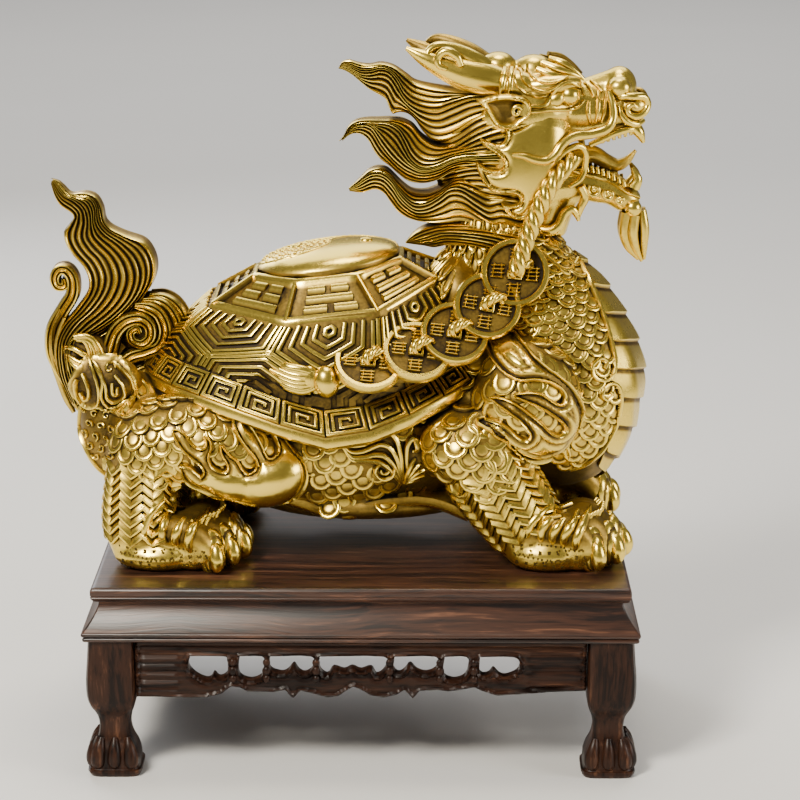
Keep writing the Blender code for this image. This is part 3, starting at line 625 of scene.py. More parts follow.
SHOULDER_MANTLE = [
    (70.1, 214.2), (75.7, 215.1), (79.9, 216.5), (85.1, 218.2), (91.1, 215.2), (95.4, 210.8),
    (100.6, 206.3), (107.6, 201),
    (112.8, 195.7), (116.8, 188.6), (119.1, 180.6), (118.8, 172.5), (116.4, 165.3), (111.7, 160.3),
    (104.8, 157.6),
    (97.9, 157.6), (90.9, 160.3), (85.6, 164.3), (81.3, 168.8), (76, 172.4), (70.8, 175.1), (67.2, 177.9),
    (73.4, 179.7),
    (78.6, 179.4), (83.8, 176.4), (88.2, 172.3), (91.6, 170.6), (94.2, 172.4), (93.3, 176), (89.8, 180.5),
    (85.4, 184.1),
    (80.2, 187.6), (75.3, 191.3), (81.9, 191.3), (88, 188.6), (94.1, 184.0), (99.3, 179.5), (102.8, 175.3),
    (107.2, 172.1),
    (110.6, 173.4), (110.6, 177), (107, 181.4), (102.7, 185), (97.4, 188.6), (92.2, 190.8), (85.6, 193.6),
    (92.2, 194.9),
    (98.2, 194.3), (102.6, 191.4), (106.9, 188.3), (109.9, 188.6), (110.3, 192.2), (107.7, 196.2),
    (102.5, 199.7),
    (95.6, 201.1), (88.7, 200.6), (82.6, 202.8), (77.4, 206.8), (73.1, 211.2),
]
THIGH = [
    (-118, 175), (-107, 191), (-87, 198), (-52, 196), (-34, 178), (-36, 158), (-50, 150), (-69, 149),
    (-90, 147), (-111, 154), (-118, 163)
]
SHOULDER = [
    (38, 182), (56, 197), (77, 213), (98, 205), (108, 180), (98, 154), (84, 146), (66, 141), (50, 141),
    (40, 146)
]
CHEST = [
    (99, 268), (107, 265), (117, 254), (124, 243), (129, 232), (134, 217), (137, 205), (135, 195),
    (140, 185),
    (140, 175), (136, 163), (128, 151), (117, 145), (111, 147), (108, 170), (100, 195), (86, 214),
    (78, 222), (84, 250),
]
BELLY = [
    (-30, 158), (-15, 166), (28, 180), (44, 170), (48, 150), (43, 138), (28, 131), (6, 126), (-5, 125.5),
    (-24, 130), (-32, 135)
]

ELBOW_FIELD = [
    (-4, 171), (8, 168), (20, 173), (30, 170), (40, 169), (44, 160), (43, 144), (38, 140), (27, 139),
    (18, 147), (8, 155), (-4, 161),
]

scales = Wax()
thigh_spots = lattice((-72, 172), (5.5, -4.65), (-3.8, -7.15), ((-11, 12), (-9, 9)))
press_scales(scales, *laid(body_skin, thigh_spots), THIGH, 5.5, 6.3, 1.15, [KNEE_MANTLE])
belly_spots = lattice((10, 145), (5.7, -7.2), (-7.8, -3.1), ((-12, 13), (-9, 10)))
press_scales(scales, *laid(body_skin, belly_spots), BELLY, 6.4, 6.6, 1.1, [KNEE_MANTLE, ELBOW_FIELD])
shoulder_spots = lattice((70, 166), (7.2, -6.2), (-6.2, -5.2), ((-10, 12), (-10, 11)))
press_scales(
    scales, *laid(body_skin, shoulder_spots), SHOULDER, 6.9, 6.9, 1.25, [SHOULDER_MANTLE, ELBOW_FIELD]
)
neck_axis = ((114.0, 0.0, 120.0), (82.0, 0.0, 290.0))
chest_hits = round_axis(body_skin, *neck_axis, staggered((18, 150), 5.3, (-92, 50), 13.4))
press_scales(scales, *met(chest_hits), CHEST, 6.2, 6.4, 1.15, [SHOULDER_MANTLE])
NECK_BACK = [(30, 272), (100, 276), (96, 248), (88, 235), (60, 235), (50, 240), (44, 248)]
neck_hits = round_axis(body_skin, *neck_axis, staggered((92, 160), 6.5, (-10, 190), 11.0))
press_scales(scales, *met(neck_hits), NECK_BACK, 3.0, 8.5, 1.3)
casting_scales = scales.cast("casting_scales", carved_brass)
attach(casting_scales, "root")
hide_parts("dragon_turtle")


# Lower legs and paws: columns of V-shaped feathers round each shank, stippled pads, curved folds over the
# knuckles, and drop-shaped claws in stepped sheaths. They are cut in the wax and cast with the body.
FEATHER = [
    (-1, -0.7, 0), (-1, 0.0, 0.2), (-0.3, 0.45, 0.7), (0.4, 0.95, 1), (0.8, 0.85, 0.95), (1.0, 0.15, 0.1),
    (1, -0.7, 0)
]
SOFT_RIB = [
    (-1, -0.8, 0.1), (-0.8, 0.35, 0.5), (-0.4, 0.9, 0.95), (0, 1, 1), (0.4, 0.9, 0.95), (0.8, 0.35, 0.5),
    (1, -0.8, 0.1)
]


def chevrons(wax, start, end, rows, limit, columns=10, drop=5.4, half=2.2):
    """Rings of V-shaped feathers round a leg, pointing along it, where its skin is within the limit."""
    start, end = np.array(start, float), np.array(end, float)
    along = unit(end - start)
    near = unit(np.array((0.0, -1.0, 0.0)) + along * along[1])
    front = np.cross(near, along)
    count = columns * 8
    turns = np.arange(count + 1) / count
    behind = np.abs((turns * columns) % 1.0 - 0.5) * 2.0
    out = np.cos(turns * 2 * math.pi)[:, None] * near + np.sin(turns * 2 * math.pi)[:, None] * front
    for row in rows:
        run = []
        for direction, lag in [*zip(out, behind), (None, 0.0)]:
            place = None
            if direction is not None:
                origin = start + along * (row - drop * lag)
                place, normal = body_skin.ray_cast(Vector(origin), Vector(direction), limit)[:2]
            if place is not None:
                run.append((*place, *(normal if normal @ Vector(direction) > 0 else -normal)))
                continue
            if len(run) > 3:
                line = np.array(run)
                wax.rib(line, half, 2.0, FEATHER, line[:, 3:])
            run = []


paws = Wax()
chevrons(paws, (-101, -43, 152), (-102, -46, 104), np.arange(3.0, 42.0, 5.0), 25.0)
chevrons(paws, (70, -42, 160), (100, -46, 108), np.arange(12.0, 52.0, 5.2), 27.0)
UPWARD = np.array((0.0, 0.0, 1.0))


def grounded(rings):
    """The same rings with nothing under the floor of the paws."""
    rings[..., 2] = np.maximum(rings[..., 2], PAW_FLOOR)
    return rings


# Each toe: a drop-shaped claw, three sheaths that step back from it, and a crest of points on the knuckle
for x, y, z, facing in HIND_CLAWS + FORE_CLAWS:
    c, s = math.cos(math.radians(facing)), math.sin(math.radians(facing))
    ahead, beside = np.array((c, -s, 0.0)), np.array((s, c, 0.0))
    frame = np.array((ahead, beside, UPWARD))
    middle = np.array((x, y, z), float)
    for reach, lift, radii, polish in (
        (2.4, 1.0, (4.5, 5.0, 8.9), 0.0), (1.6, 1.8, (4.7, 5.9, 10.1), 0.95),
        (0.9, 2.2, (4.7, 6.6, 11.0), 0.0), (-0.7, 2.6, (5.7, 7.5, 12.4), 0.95),
    ):
        sheath = ball((reach, 0, lift), radii, rings=12, around=18) @ frame + middle
        paws.roll(grounded(sheath), polish, both=True)
    claw = [(1.5, 8.6, 1.2), (4.8, 5.4, 3.2), (6.2, 0.4, 4.2), (6.0, -3.4, 3.6), (4.8, -6.6, 1.6)]
    tooth = np.array([(*(middle + ahead * out + UPWARD * up), radius) for out, up, radius in claw])
    tooth = curve(tooth, 5)
    paws.roll(grounded(ridge(tooth, tooth[:, 3], tooth[:, 3], ROUND, ahead)), 1.0, both=True)
    for across in (-4.6, -1.5, 1.5, 4.6):
        foot = middle + (-8.5, 0.0, 9.5) + beside * across
        rows = [
            (*foot, 2.0), (*(foot + (0.3, -0.3, 4.5)), 1.8), (*(foot + (1.6, -0.4, 8.5)), 1.3),
            (*(foot + (3.4, -0.4, 11.0)), THINNEST)
        ]
        paws.roll(lock(rows), polish_of(ROUND), both=True)
FOLDS = [
    [(-66, 131), (-75, 126), (-78, 118), (-77, 112)], [(-72, 134), (-81, 128), (-84.5, 120), (-84, 115)],
    [(-79, 136), (-88, 130), (-91, 123), (-91, 117)],
    [(118, 135), (108, 131), (101, 124), (100, 117)], [(123, 136), (113, 131), (106.5, 123), (106, 116)],
    [(127, 136), (118, 130), (112, 122), (111.5, 115)], [(131, 135), (123, 129), (118, 121), (117.5, 114)],
    [(-90, 137), (-97, 131), (-100, 124), (-101, 118)], [(112, 135), (102, 132), (95, 126), (93, 119)],
]
for fold in FOLDS:
    line, normal = laid(body_skin, curve(fold, 6), -58.0)
    on_paw = line[:, 1] < PAW_INNER_Y
    line, normal = line[on_paw], normal[on_paw]
    size = np.interp(np.linspace(0, 1, len(line)), (0, 0.3, 0.8, 1), (1.2, 3.0, 2.7, 1.2))
    paws.rib(line, size, size * 0.85, SOFT_RIB, normal)
pits = []
for start_x, end_x, top in ((-113, -68, 114), (87, 123, 115)):
    for row, z in enumerate(np.arange(103.0, top, 1.9)):
        for column, x in enumerate(np.arange(start_x, end_x, 2.3)):
            spot = (
                x + 0.9 * math.sin(row * 7.1 + column * 3.3), z + 0.7 * math.sin(row * 2.7 + column * 5.9)
            )
            place, normal = body_skin.ray_cast(
                Vector((spot[0], -300.0, spot[1])), Vector((0.0, 1.0, 0.0))
            )[:2]
            if place is not None and place.y < -50.0:
                pits.append(
                    ball(np.array(place) - np.array(normal) * 0.45, (0.85, 0.85, 0.95), rings=4, around=6)
                )
paws.roll(np.array(pits), 0.0, both=True)
casting_paws = paws.cast("casting_paws", carved_brass)
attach(casting_paws, "root")
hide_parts("dragon_turtle")


# Flames and mantles: a burnished cap over each knee and elbow whose edge runs out into flame tongues, a
# plume at each elbow, knot leaves on the hips, bands down the chest that end in spirals, and breast plates.
KNEE_PROFILE = [
    (0, -0.6, 0.0), (0.5, 2.4, 0.2), (1.7, 2.6, 0.2), (2.9, 3.6, 0.95), (6, 4.0, 1.0), (14, 4.3, 1.0)
]
ELBOW_PROFILE = [
    (0, -0.6, 0.0), (0.5, 1.8, 0.0), (1.9, 1.9, 0.0), (2.9, 3.2, 0.9), (3.7, 3.2, 0.9), (4.7, 2.1, 0.0),
    (6.0, 3.5, 1.0), (12, 4.2, 1.0),
]


def looped(points):
    """A smooth closed outline through these points."""
    return curve(points + points[:1], 3)[:-1]


def profiled(edge, rows):
    """Height and polish at these distances from the edge, by (distance, height, polish) rows."""
    away, heights, shine = zip(*rows)
    return np.interp(edge, away, heights), np.interp(edge, away, shine)


def sheet(outlines, pitch):
    """Points, triangles and distances to the edge for a flat shape: its outline first, then its holes."""
    loops = []
    for outline in outlines:
        ring = np.vstack([outline, outline[:1]]).astype(float)
        length = np.linalg.norm(np.diff(ring, axis=0), axis=1).sum()
        loops.append(resampled(ring, max(8, round(length / pitch)) + 1)[:-1])

    def within(points):
        kept = inside(loops[0], points[:, 0], points[:, 1])
        for hole in loops[1:]:
            kept &= ~inside(hole, points[:, 0], points[:, 1])
        return kept

    low, high = loops[0].min(axis=0), loops[0].max(axis=0)
    rows = np.arange(low[1], high[1], pitch * 0.87)
    grid = np.array(
        [(x + k % 2 * pitch / 2, z) for k, z in enumerate(rows) for x in np.arange(low[0], high[0], pitch)]
    )
    edge = np.min([to_edge(loop, grid) for loop in loops], axis=0)
    grid = grid[within(grid) & (edge > 0.6 * pitch)]
    sides, start = [], 0
    for loop in loops:
        sides += [(start + k, start + (k + 1) % len(loop)) for k in range(len(loop))]
        start += len(loop)
    flat, _, faces = delaunay_2d_cdt([Vector(p) for p in np.vstack([*loops, grid])], sides, [], 0, 1e-5)[:3]
    flat = np.array([tuple(p) for p in flat])
    faces = np.array(faces)
    faces = faces[within(flat[faces].mean(axis=1))]
    return flat, faces, np.min([to_edge(loop, flat) for loop in loops], axis=0)


def thickened(wax, top, bottom, faces, polish, both=False):
    """Adds a closed body between two copies of a sheet."""
    count = len(top)
    arrows = np.vstack([faces[:, [0, 1]], faces[:, [1, 2]], faces[:, [2, 0]]]).tolist()
    known = set(map(tuple, arrows))
    rim = [(b, a, a + count, b + count) for a, b in arrows if (b, a) not in known]
    every = faces.tolist() + (faces[:, ::-1] + count).tolist() + rim
    points = np.vstack([top, bottom])
    shine = np.concatenate([np.broadcast_to(polish, count), np.zeros(count)])
    wax.press(points, every, shine)
    if both:
        wax.press(points * (1, -1, 1), every, shine)


def overlaid(wax, skin, outline, profile, pitch=0.75, depth=-45.0, root=1.5):
    """A carved sheet laid on a skin inside an outline, on both sides."""
    flat, faces, edge = sheet([outline], pitch)
    places, normals = laid(skin, flat, depth)
    heights, shine = profiled(edge, profile)
    thickened(wax, places + normals * heights[:, None], places - normals * root, faces, shine, both=True)


def banded(wax, skin, rows, height, section=SOFT_RIB, depth=-45.0, steps=6, sunk=0.0):
    """A rib laid on a skin along (x, z, half width) rows of the side view, on both sides."""
    line = curve(rows, steps)
    places, normals = laid(skin, line[:, :2], depth)
    share = line[:, 2] / line[:, 2].max()
    wax.rib(places - normals * sunk, line[:, 2], height * share, section, normals)


def spiral(centre, radius, turns, start, way=1.0, thick=1.6):
    """Rows of a line that winds inwards, with its half width."""
    angle = np.linspace(0, turns * 2 * math.pi, int(turns * 14) + 2)
    size = radius * (1 - 0.82 * angle / angle[-1])
    x = centre[0] + size * np.cos(start + way * angle)
    z = centre[1] + size * np.sin(start + way * angle)
    return np.stack([x, z, thick * (1 - 0.45 * angle / angle[-1])], axis=-1)


flames = Wax()
for mantle, profile, height in ((KNEE_MANTLE, KNEE_PROFILE, 3.9), (SHOULDER_MANTLE, ELBOW_PROFILE, 3.7)):
    outline = curve(mantle + mantle[:1], 3)
    overlaid(flames, body_skin, outline[:-1], profile, 0.9)
    places, normals = laid(body_skin, resampled(outline, len(outline) * 2), -45.0)
    flames.roll(
        ridge(places, 1.05, height, SOFT_RIB, normals)[:-1], polish_of(SOFT_RIB), closed=True, both=True
    )

# The plume at the elbow, its spiral, hook and leaf
ELBOW_PLUME = [
    [
        (30.7, 142.7), (29.5, 150), (28.8, 158.3), (26.3, 166.9), (21, 170.1), (15, 167.6), (10.1, 164.9),
        (2.3, 164.6), (-1.5, 167.5)
    ],
    [
        (30.2, 142.7), (28.6, 149), (27.0, 156.3), (23.6, 162.4), (18.5, 164.6), (13.3, 162.9),
        (8.6, 161.4), (3.4, 161.8), (-1.0, 166.5)
    ],
    [
        (29.6, 142.7), (27.6, 148), (25.2, 153.5), (20.9, 158.5), (16, 159.6), (11.5, 158.8), (7.0, 158.5),
        (3.8, 159.4), (-0.6, 165.0)
    ],
    [
        (29, 142.7), (26.4, 147), (23.2, 151.3), (18.4, 155.4), (13.6, 156.5), (9.3, 156.7), (6.1, 157.0),
        (3.6, 158.1), (0.0, 163.5)
    ],
]
for guide in ELBOW_PLUME:
    widths = np.interp(np.linspace(0, 1, len(guide)), (0, 0.4, 0.8, 1), (1.5, 2.3, 1.9, 0.8))
    banded(flames, body_skin, [(x, z, w) for (x, z), w in zip(guide, widths)], 3.4, depth=-50.0, sunk=0.6)
banded(flames, body_skin, spiral((20.2, 151.0), 5.6, 1.6, 0.2, way=-1.0, thick=1.7), 3.2, depth=-50.0)
banded(
    flames, body_skin,
    [
        (32, 150, 1.2), (31.6, 157, 1.6), (32.0, 163, 2.0), (34.5, 166.6, 2.4), (38, 165.4, 2.2),
        (38.2, 161.4, 1.8), (35.0, 160.2, 1.2)
    ],
    3.4, depth=-50.0
)
for tip in ((36.5, 156.5), (39.5, 153.5), (41.2, 149.8), (41.0, 146.2), (38.5, 143.4)):
    banded(
        flames, body_skin,
        [(30.8, 143.0, 1.5), ((30.8 + tip[0]) / 2 - 0.6, (143.0 + tip[1]) / 2 + 1.2, 1.9), (*tip, 0.9)],
        3.0, depth=-50.0
    )

# Hip knots: two nested drops on a leaf, with a small ring, and a field of little curls behind them
HIP_LEAF = [
    (-130.7, 204.7), (-137, 196.6), (-139.4, 188.6), (-136.6, 181.4), (-132.4, 178.7), (-125.4, 180.5),
    (-122, 177.8), (-113.3, 176.9), (-107.1, 181.5), (-105.2, 188.6), (-107.5, 197.6), (-113.4, 204.7),
    (-122, 206)
]
HIP_LOOPS = [
    [
        (-129, 203.8), (-125.7, 197.5), (-123.8, 190.4), (-124.8, 183.2), (-129.7, 180.5), (-133.9, 184.1),
        (-135.5, 191.3), (-134.5, 194.8)
    ],
    [
        (-129.8, 204.7), (-123.9, 200.2), (-121.9, 194), (-122.6, 186.8), (-118.4, 180.5), (-112.3, 180.5),
        (-107.8, 185.9), (-108.5, 194), (-112.7, 199.4), (-116.9, 202.9)
    ],
    [
        (-125.5, 201.5), (-120.7, 193.1), (-120, 186.8), (-116.6, 184.1), (-112.2, 186.8), (-112.4, 192.2),
        (-116.2, 197.6)
    ],
    [(-131.5, 197.5), (-129.0, 192.0), (-129.0, 186.5), (-131.5, 185.5), (-133, 189)],
    [(-117.5, 194), (-117.2, 189), (-115.4, 188.6), (-115.0, 192.0)],
]
overlaid(
    flames, body_skin, looped(HIP_LEAF),
    [(0, -0.5, 0.0), (0.4, 2.4, 0.8), (1.3, 3.2, 1.0), (2.1, 2.4, 0.4), (3.0, 0.8, 0.0), (20, 0.8, 0.0)],
    0.9, depth=-32.0
)
for loop in HIP_LOOPS:
    banded(flames, body_skin, [(x, z, 1.45) for x, z in loop], 3.2, depth=-32.0)
banded(
    flames, body_skin, [(*row[:2], 0.9) for row in spiral((-118.6, 200.6), 2.8, 1.0, 0.0)], 2.2, depth=-32.0
)
RUMP_EDGE = [
    (-138.6, 182), (-137.6, 169.1), (-136, 163.5), (-131.8, 154.3), (-127.5, 146.9), (-121.4, 141.3)
]
banded(flames, body_skin, [(x, z, 1.3) for x, z in RUMP_EDGE], 2.0, depth=-20.0)
for row, z in enumerate(np.arange(148.0, 181.0, 5.6)):
    for column in range(3):
        x = -117.5 - 6.4 * column - 3.2 * (row % 2)
        if inside([(-136, 181), (-112, 181), (-112, 168), (-119, 150), (-125, 148), (-134, 163)], x, z):
            banded(
                flames, body_skin, spiral((x, z), 2.3, 0.95, 2.0 + row, thick=0.85), 1.5, depth=-30.0,
                steps=2
            )

# Bands down the chest, spirals at their ends, and breast plates between them
BREAST_BAND = [
    (104, 265), (111.2, 259.2), (116.9, 253.4), (123.5, 243.3), (128.7, 233.1), (133.2, 220.7),
    (136.7, 208.2), (137.8, 201.5), (136.4, 195.3), (132, 193.4), (127.2, 196), (126.0, 201.5),
    (129.4, 204.5), (133.2, 202.5), (131.8, 199.3)
]
BREAST_LOW_BAND = [
    (116, 144.9), (124, 147.3), (132.7, 155.6), (138.6, 166.6), (141, 177.6), (140.6, 186.2),
    (137.4, 191.0), (132.4, 190.4), (130.8, 186.4), (133.4, 183.6), (136.2, 185.4), (134.8, 187.6)
]
for band in (BREAST_BAND, BREAST_LOW_BAND):
    banded(flames, body_skin, [(x, z, 1.7) for x, z in band], 2.6, depth=-28.0)
round_front = np.linspace(-48.0, -132.0, 36)
BREAST_PLATE_HEIGHT = 15.0
levels = np.arange(22.0, 150.0, 1.25)
fall = 12.0 * (1.0 - np.abs(round_front + 90.0) / 42.0) ** 0.8
plate_pairs = np.stack(np.broadcast_arrays(levels[:, None] - fall, round_front), axis=-1).reshape(-1, 2)
places, normals = met(round_axis(body_skin, *neck_axis, plate_pairs))
part = (levels / BREAST_PLATE_HEIGHT) % 1.0
raised = np.repeat(0.6 + 1.9 * (1.0 - part) ** 0.8, len(round_front))
shine = np.repeat(np.where(part > 0.88, 0.0, 0.55 + 0.45 * (1.0 - part)), len(round_front))
corners = np.arange(len(places)).reshape(len(levels), len(round_front))
squares = np.stack(
    [corners[:-1, :-1], corners[:-1, 1:], corners[1:, 1:], corners[1:, :-1]], axis=-1
).reshape(-1, 4)
corners = np.vstack([squares[:, :3], squares[:, [0, 2, 3]]])
middles = places[corners].mean(axis=1)
corners = corners[~inside(CHEST, middles[:, 0], middles[:, 2]) & (middles[:, 0] > 100)]
thickened(flames, places + normals * raised[:, None], places - normals * 1.5, corners, shine)

# The edge of the belly plates
for edge_line in (
    [
        (-50, 135.5, 1.2), (-46, 135, 1.8), (-37.1, 132.5, 2.2), (-29.9, 130.6, 2.4), (-22.7, 128, 2.4),
        (-15.5, 125.4, 2.2), (-6.5, 121.5, 1.2)
    ],
    [
        (-1, 121.5, 1.2), (4.6, 122.4, 2.0), (9.7, 125.1, 2.4), (16.9, 127.6, 2.4), (27.7, 129.2, 2.4),
        (38.5, 129.7, 2.4), (50, 127.5, 2.3), (64, 121.2, 1.8)
    ],
):
    row = curve([(x, -37.0, z, half) for x, z, half in edge_line], 6)
    flames.rib(row, row[:, 3] * 2.8, row[:, 3], SOFT_RIB, (0.0, -0.45, -1.0))
casting_flames = flames.cast("casting_flames", carved_brass)
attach(casting_flames, "root")
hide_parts("dragon_turtle")


# Shell: a dome with a plain boss, an eight-sided ring of panels with barred signs, a honeycomb of
# ridged plates below it, and a rim of framed squares that each hold a squared spiral.
SHELL_MIDDLE = np.array((-13.0, 0.0, 189.0))
SHELL_TILT = math.radians(6.8)
SHELL_TOP = 69.0
PLATE_RADIUS = 62.0
PLATE_INNER_SHARE = 0.63
PLATE_CORNERS = np.array([
    (58.5, 23, 46.5), (30, 49, 37.5), (-18, 49, 38), (-59, 23, 46.2), (-59, -23, 46.2), (-18, -49, 38),
    (30, -49, 37.5), (58.5, -23, 46.5),
])
RIM_WAVE = (
    (-95, -86, -58, -38, -20, -8, 3, 14, 25, 47, 65, 83, 101),
    (16, 15, 7.7, 0.4, -7.5, -13.5, -16.8, -17.2, -16.4, -11.8, -6.6, -2.5, 3),
)
SECTOR_WIDTH = 45.0
SECTOR_DEPTH = 42.0
PLATE_PITCH = 4.3
RIM_UNITS = 26
FLAT_RIB = [
    (-1, -0.8, 0), (-0.92, 0.1, 0.1), (-0.66, 0.92, 0.85), (-0.3, 1, 1), (0.3, 1, 1), (0.66, 0.92, 0.85),
    (0.92, 0.1, 0.1), (1, -0.8, 0)
]


def squeeze(z):
    """How much narrower than long the shell is at this height of its own frame."""
    return np.interp(
        z, (-12, -6.5, 0.5, 11, 25, 37, 45, 55, 68.2),
        (0.714, 0.736, 0.739, 0.677, 0.684, 0.723, 0.788, 0.833, 0.833)
    )


def shell_place(points):
    """Points of the shell's own frame, leaning forward with height, turned nose up and set on the body."""
    x, y, z = np.moveaxis(np.asarray(points, float), -1, 0)
    x = x + 14.0 * np.maximum(z / SHELL_TOP, 0.0) ** 1.3
    c, s = math.cos(SHELL_TILT), math.sin(SHELL_TILT)
    return np.stack([x * c - z * s, y, x * s + z * c], axis=-1) + SHELL_MIDDLE


def plate_edge(turn, share, lift=0.0):
    """Points on the eight-sided ring: the turn counts corners, and the share is 1 at its outer edge."""
    turn, share = np.asarray(turn, float), np.asarray(share, float)
    corner = np.floor(turn + 1e-9)
    inner = np.minimum(share, PLATE_INNER_SHARE)
    out = np.maximum(0.0, (share - PLATE_INNER_SHARE) / (1.0 - PLATE_INNER_SHARE))[..., None]
    height = 45.0 + (1.0 - inner) * 37.0
    ends = []
    for k in (corner, corner + 1):
        angle = np.radians(22.5 + 45.0 * k)
        x = PLATE_RADIUS * inner * np.cos(angle)
        y = PLATE_RADIUS * inner * np.sin(angle) * squeeze(height)
        near = np.stack([x, y, height - 5.0 * (y / 46.0) ** 2], axis=-1)
        ends.append(near * (1 - out) + PLATE_CORNERS[k.astype(int) % 8] * out)
    part = (turn - corner)[..., None]
    found = ends[0] * (1 - part) + ends[1] * part
    found[..., 2] += lift
    return found


def rim_edge(turn, radius, height):
    """Points round the oval rim, which rises at the tail and sags in the middle."""
    angle = np.radians(22.5 + 45.0 * np.asarray(turn, float))
    x = radius * np.cos(angle)
    y = radius * np.sin(angle) * squeeze(height)
    wave = np.interp(x, *RIM_WAVE) * (1.0 - np.clip((height - 12.0) / 33.0, 0.0, 1.0))
    return np.stack([x, y, height + wave], axis=-1)


def shell_side(turn, down, lift=0.0):
    """Points on the dome's side: down is 0 at the eight-sided ring and 1 at the rim."""
    turn, down = np.broadcast_arrays(np.asarray(turn, float), np.asarray(down, float))

    def skin(t, d):
        upper = plate_edge(t, 1.0)
        lower = rim_edge(t, 84.0, 11.0)
        middle = upper * (1 - d[..., None]) + lower * d[..., None]
        swell = 3.0 * np.sin(math.pi * np.clip(d, 0, 1))[..., None]
        out = unit(middle * (1.0, 1.4, 0.4))
        return shell_place(middle + out * swell)

    here = skin(turn, down)
    corner = np.floor(turn + 1e-9)
    turned = np.where(turn - corner > 0.5, -0.002, 0.002)
    over = (skin(turn + turned, down) - here) / turned[..., None]
    below = (skin(turn, down + 0.002) - here) / 0.002
    normal = unit(np.cross(over, below))
    normal = np.where((normal[..., 2:] < 0), -normal, normal)
    return here + normal * np.asarray(lift)[..., None]


def refined(path, step, closed=False):
    """A straight-sided path with points added between its corners."""
    corners = [np.array(p, float) for p in path]
    if closed:
        corners.append(corners[0])
    found = []
    for first, second in zip(corners, corners[1:]):
        count = max(1, round(float(np.linalg.norm(second - first)) / step))
        found += [first + (second - first) * k / count for k in range(count)]
    if not closed:
        found.append(corners[-1])
    return np.array(found)


def drawn(path, half, rise, place, section=FLAT_RIB, closed=False):
    """A rib drawn on a flat pattern with mitred corners, and bent onto the surface that place() gives."""
    path = np.asarray(path, float)
    before, after = np.roll(path, 1, axis=0), np.roll(path, -1, axis=0)
    if not closed:
        before[0], after[-1] = 2 * path[0] - path[1], 2 * path[-1] - path[-2]
    into, out = unit(path - before), unit(after - path)
    into, out = into[:, ::-1] * (-1, 1), out[:, ::-1] * (-1, 1)
    mitre = (into + out) / np.maximum(1 + np.sum(into * out, axis=1, keepdims=True), 0.4)
    section = np.asarray(section)
    grid = path[:, None] + mitre[:, None] * (section[None, :, :1] * np.reshape(half, (-1, 1, 1)))
    return place(grid, np.broadcast_to(section[:, 1] * rise, grid.shape[:2]))


shell = Wax()
ring_steps = np.arange(8 * 6) / 6.0
plate_profile = [
    (0.90, -14.0, 0.1), (1.0, -6.0, 0.3), (1.004, -1.0, 0.8), (0.996, 1.2, 1.0), (0.984, 1.8, 1.0),
    (0.958, 1.7, 1.0),
    (0.948, -0.9, 0.0), (0.692, -0.9, 0.0), (0.682, 1.7, 1.0), (0.655, 1.8, 1.0), (0.64, 1.4, 1.0),
    (0.625, -0.4, 0.2),
    (0.60, -2.0, 0.0), (0.50, -6.0, 0.0),
]
plate_rings = np.stack(
    [shell_place(plate_edge(ring_steps, share, lift)) for share, lift, _ in plate_profile], axis=0
)
shell.roll(plate_rings, np.array([p for *_, p in plate_profile])[:, None] * np.ones(len(ring_steps)))


def panel(corner):
    """A placing function for one panel: -1 to 1 across between its corners, and 0 to 1 outwards."""

    def place(points, heights):
        turn = corner + 0.5 + 0.4999 * np.clip(points[..., 0], -1, 1)
        share = PLATE_INNER_SHARE + (1.0 - PLATE_INNER_SHARE) * points[..., 1]
        return shell_place(plate_edge(turn, share, heights - 0.9))

    return place


SIGNS = {
    4: (0, 0, 1), 5: (0, 1, 0), 6: (0, 1, 1), 7: (1, 0, 0), 0: (1, 0, 1), 1: (1, 1, 0), 2: (1, 1, 1),
    3: (0, 0, 0)
}
for corner in range(8):
    place_on = panel(corner)
    for whole, out in zip(SIGNS[corner], (0.28, 0.50, 0.72)):
        reach = 0.66 - 0.12 * (1 - out)
        spans = [(-reach, reach)] if whole else [(-reach, -0.09), (0.09, reach)]
        for low_end, high_end in spans:
            line = refined([(low_end, out), (high_end, out)], 0.12)
            stretched = drawn(line * (20.0, 20.0), 1.45, 2.5, lambda p, h: place_on(p / 20.0, h))
            shell.roll(stretched, polish_of(FLAT_RIB))
for corner in range(8):
    inner_end = shell_place(plate_edge(corner, PLATE_INNER_SHARE + 0.03, 0.1))
    outer_end = shell_place(plate_edge(corner, 0.97, 0.1))
    line = inner_end + (outer_end - inner_end) * np.linspace(0, 1, 5)[:, None]
    middle = shell_place(plate_edge(corner, 0.8, 0.0))
    up = unit(middle - np.array((-13.0, 0.0, 190.0)))
    shell.rib(line, 1.25, 1.9, FLAT_RIB, up, both=False)

# The boss: a smooth low dome with an S-shaped line, one half stippled, and two small buttons
BOSS_FOOT = 58.8
BOSS_RISE = 10.2
BOSS_REACH = 0.604
boss_shares = np.array([0.0, 0.12, 0.24, 0.34, 0.43, 0.50, 0.555, 0.59, 0.60, 0.57])
boss_angles = np.arange(56) * 2 * math.pi / 56


def boss_place(points, heights):
    """Points on the boss from its plan, in shares of the ring's radius."""
    share = np.minimum(np.linalg.norm(points, axis=-1), 0.603)
    z = BOSS_FOOT + BOSS_RISE * np.sqrt(np.clip(1.0 - (share / BOSS_REACH) ** 2, 0, 1)) ** 0.9
    flat = points * PLATE_RADIUS
    return shell_place(
        np.stack(
            [flat[..., 0], flat[..., 1] * 0.833, z + heights - 1.2 * (flat[..., 1] / 46.0) ** 2], axis=-1
        )
    )


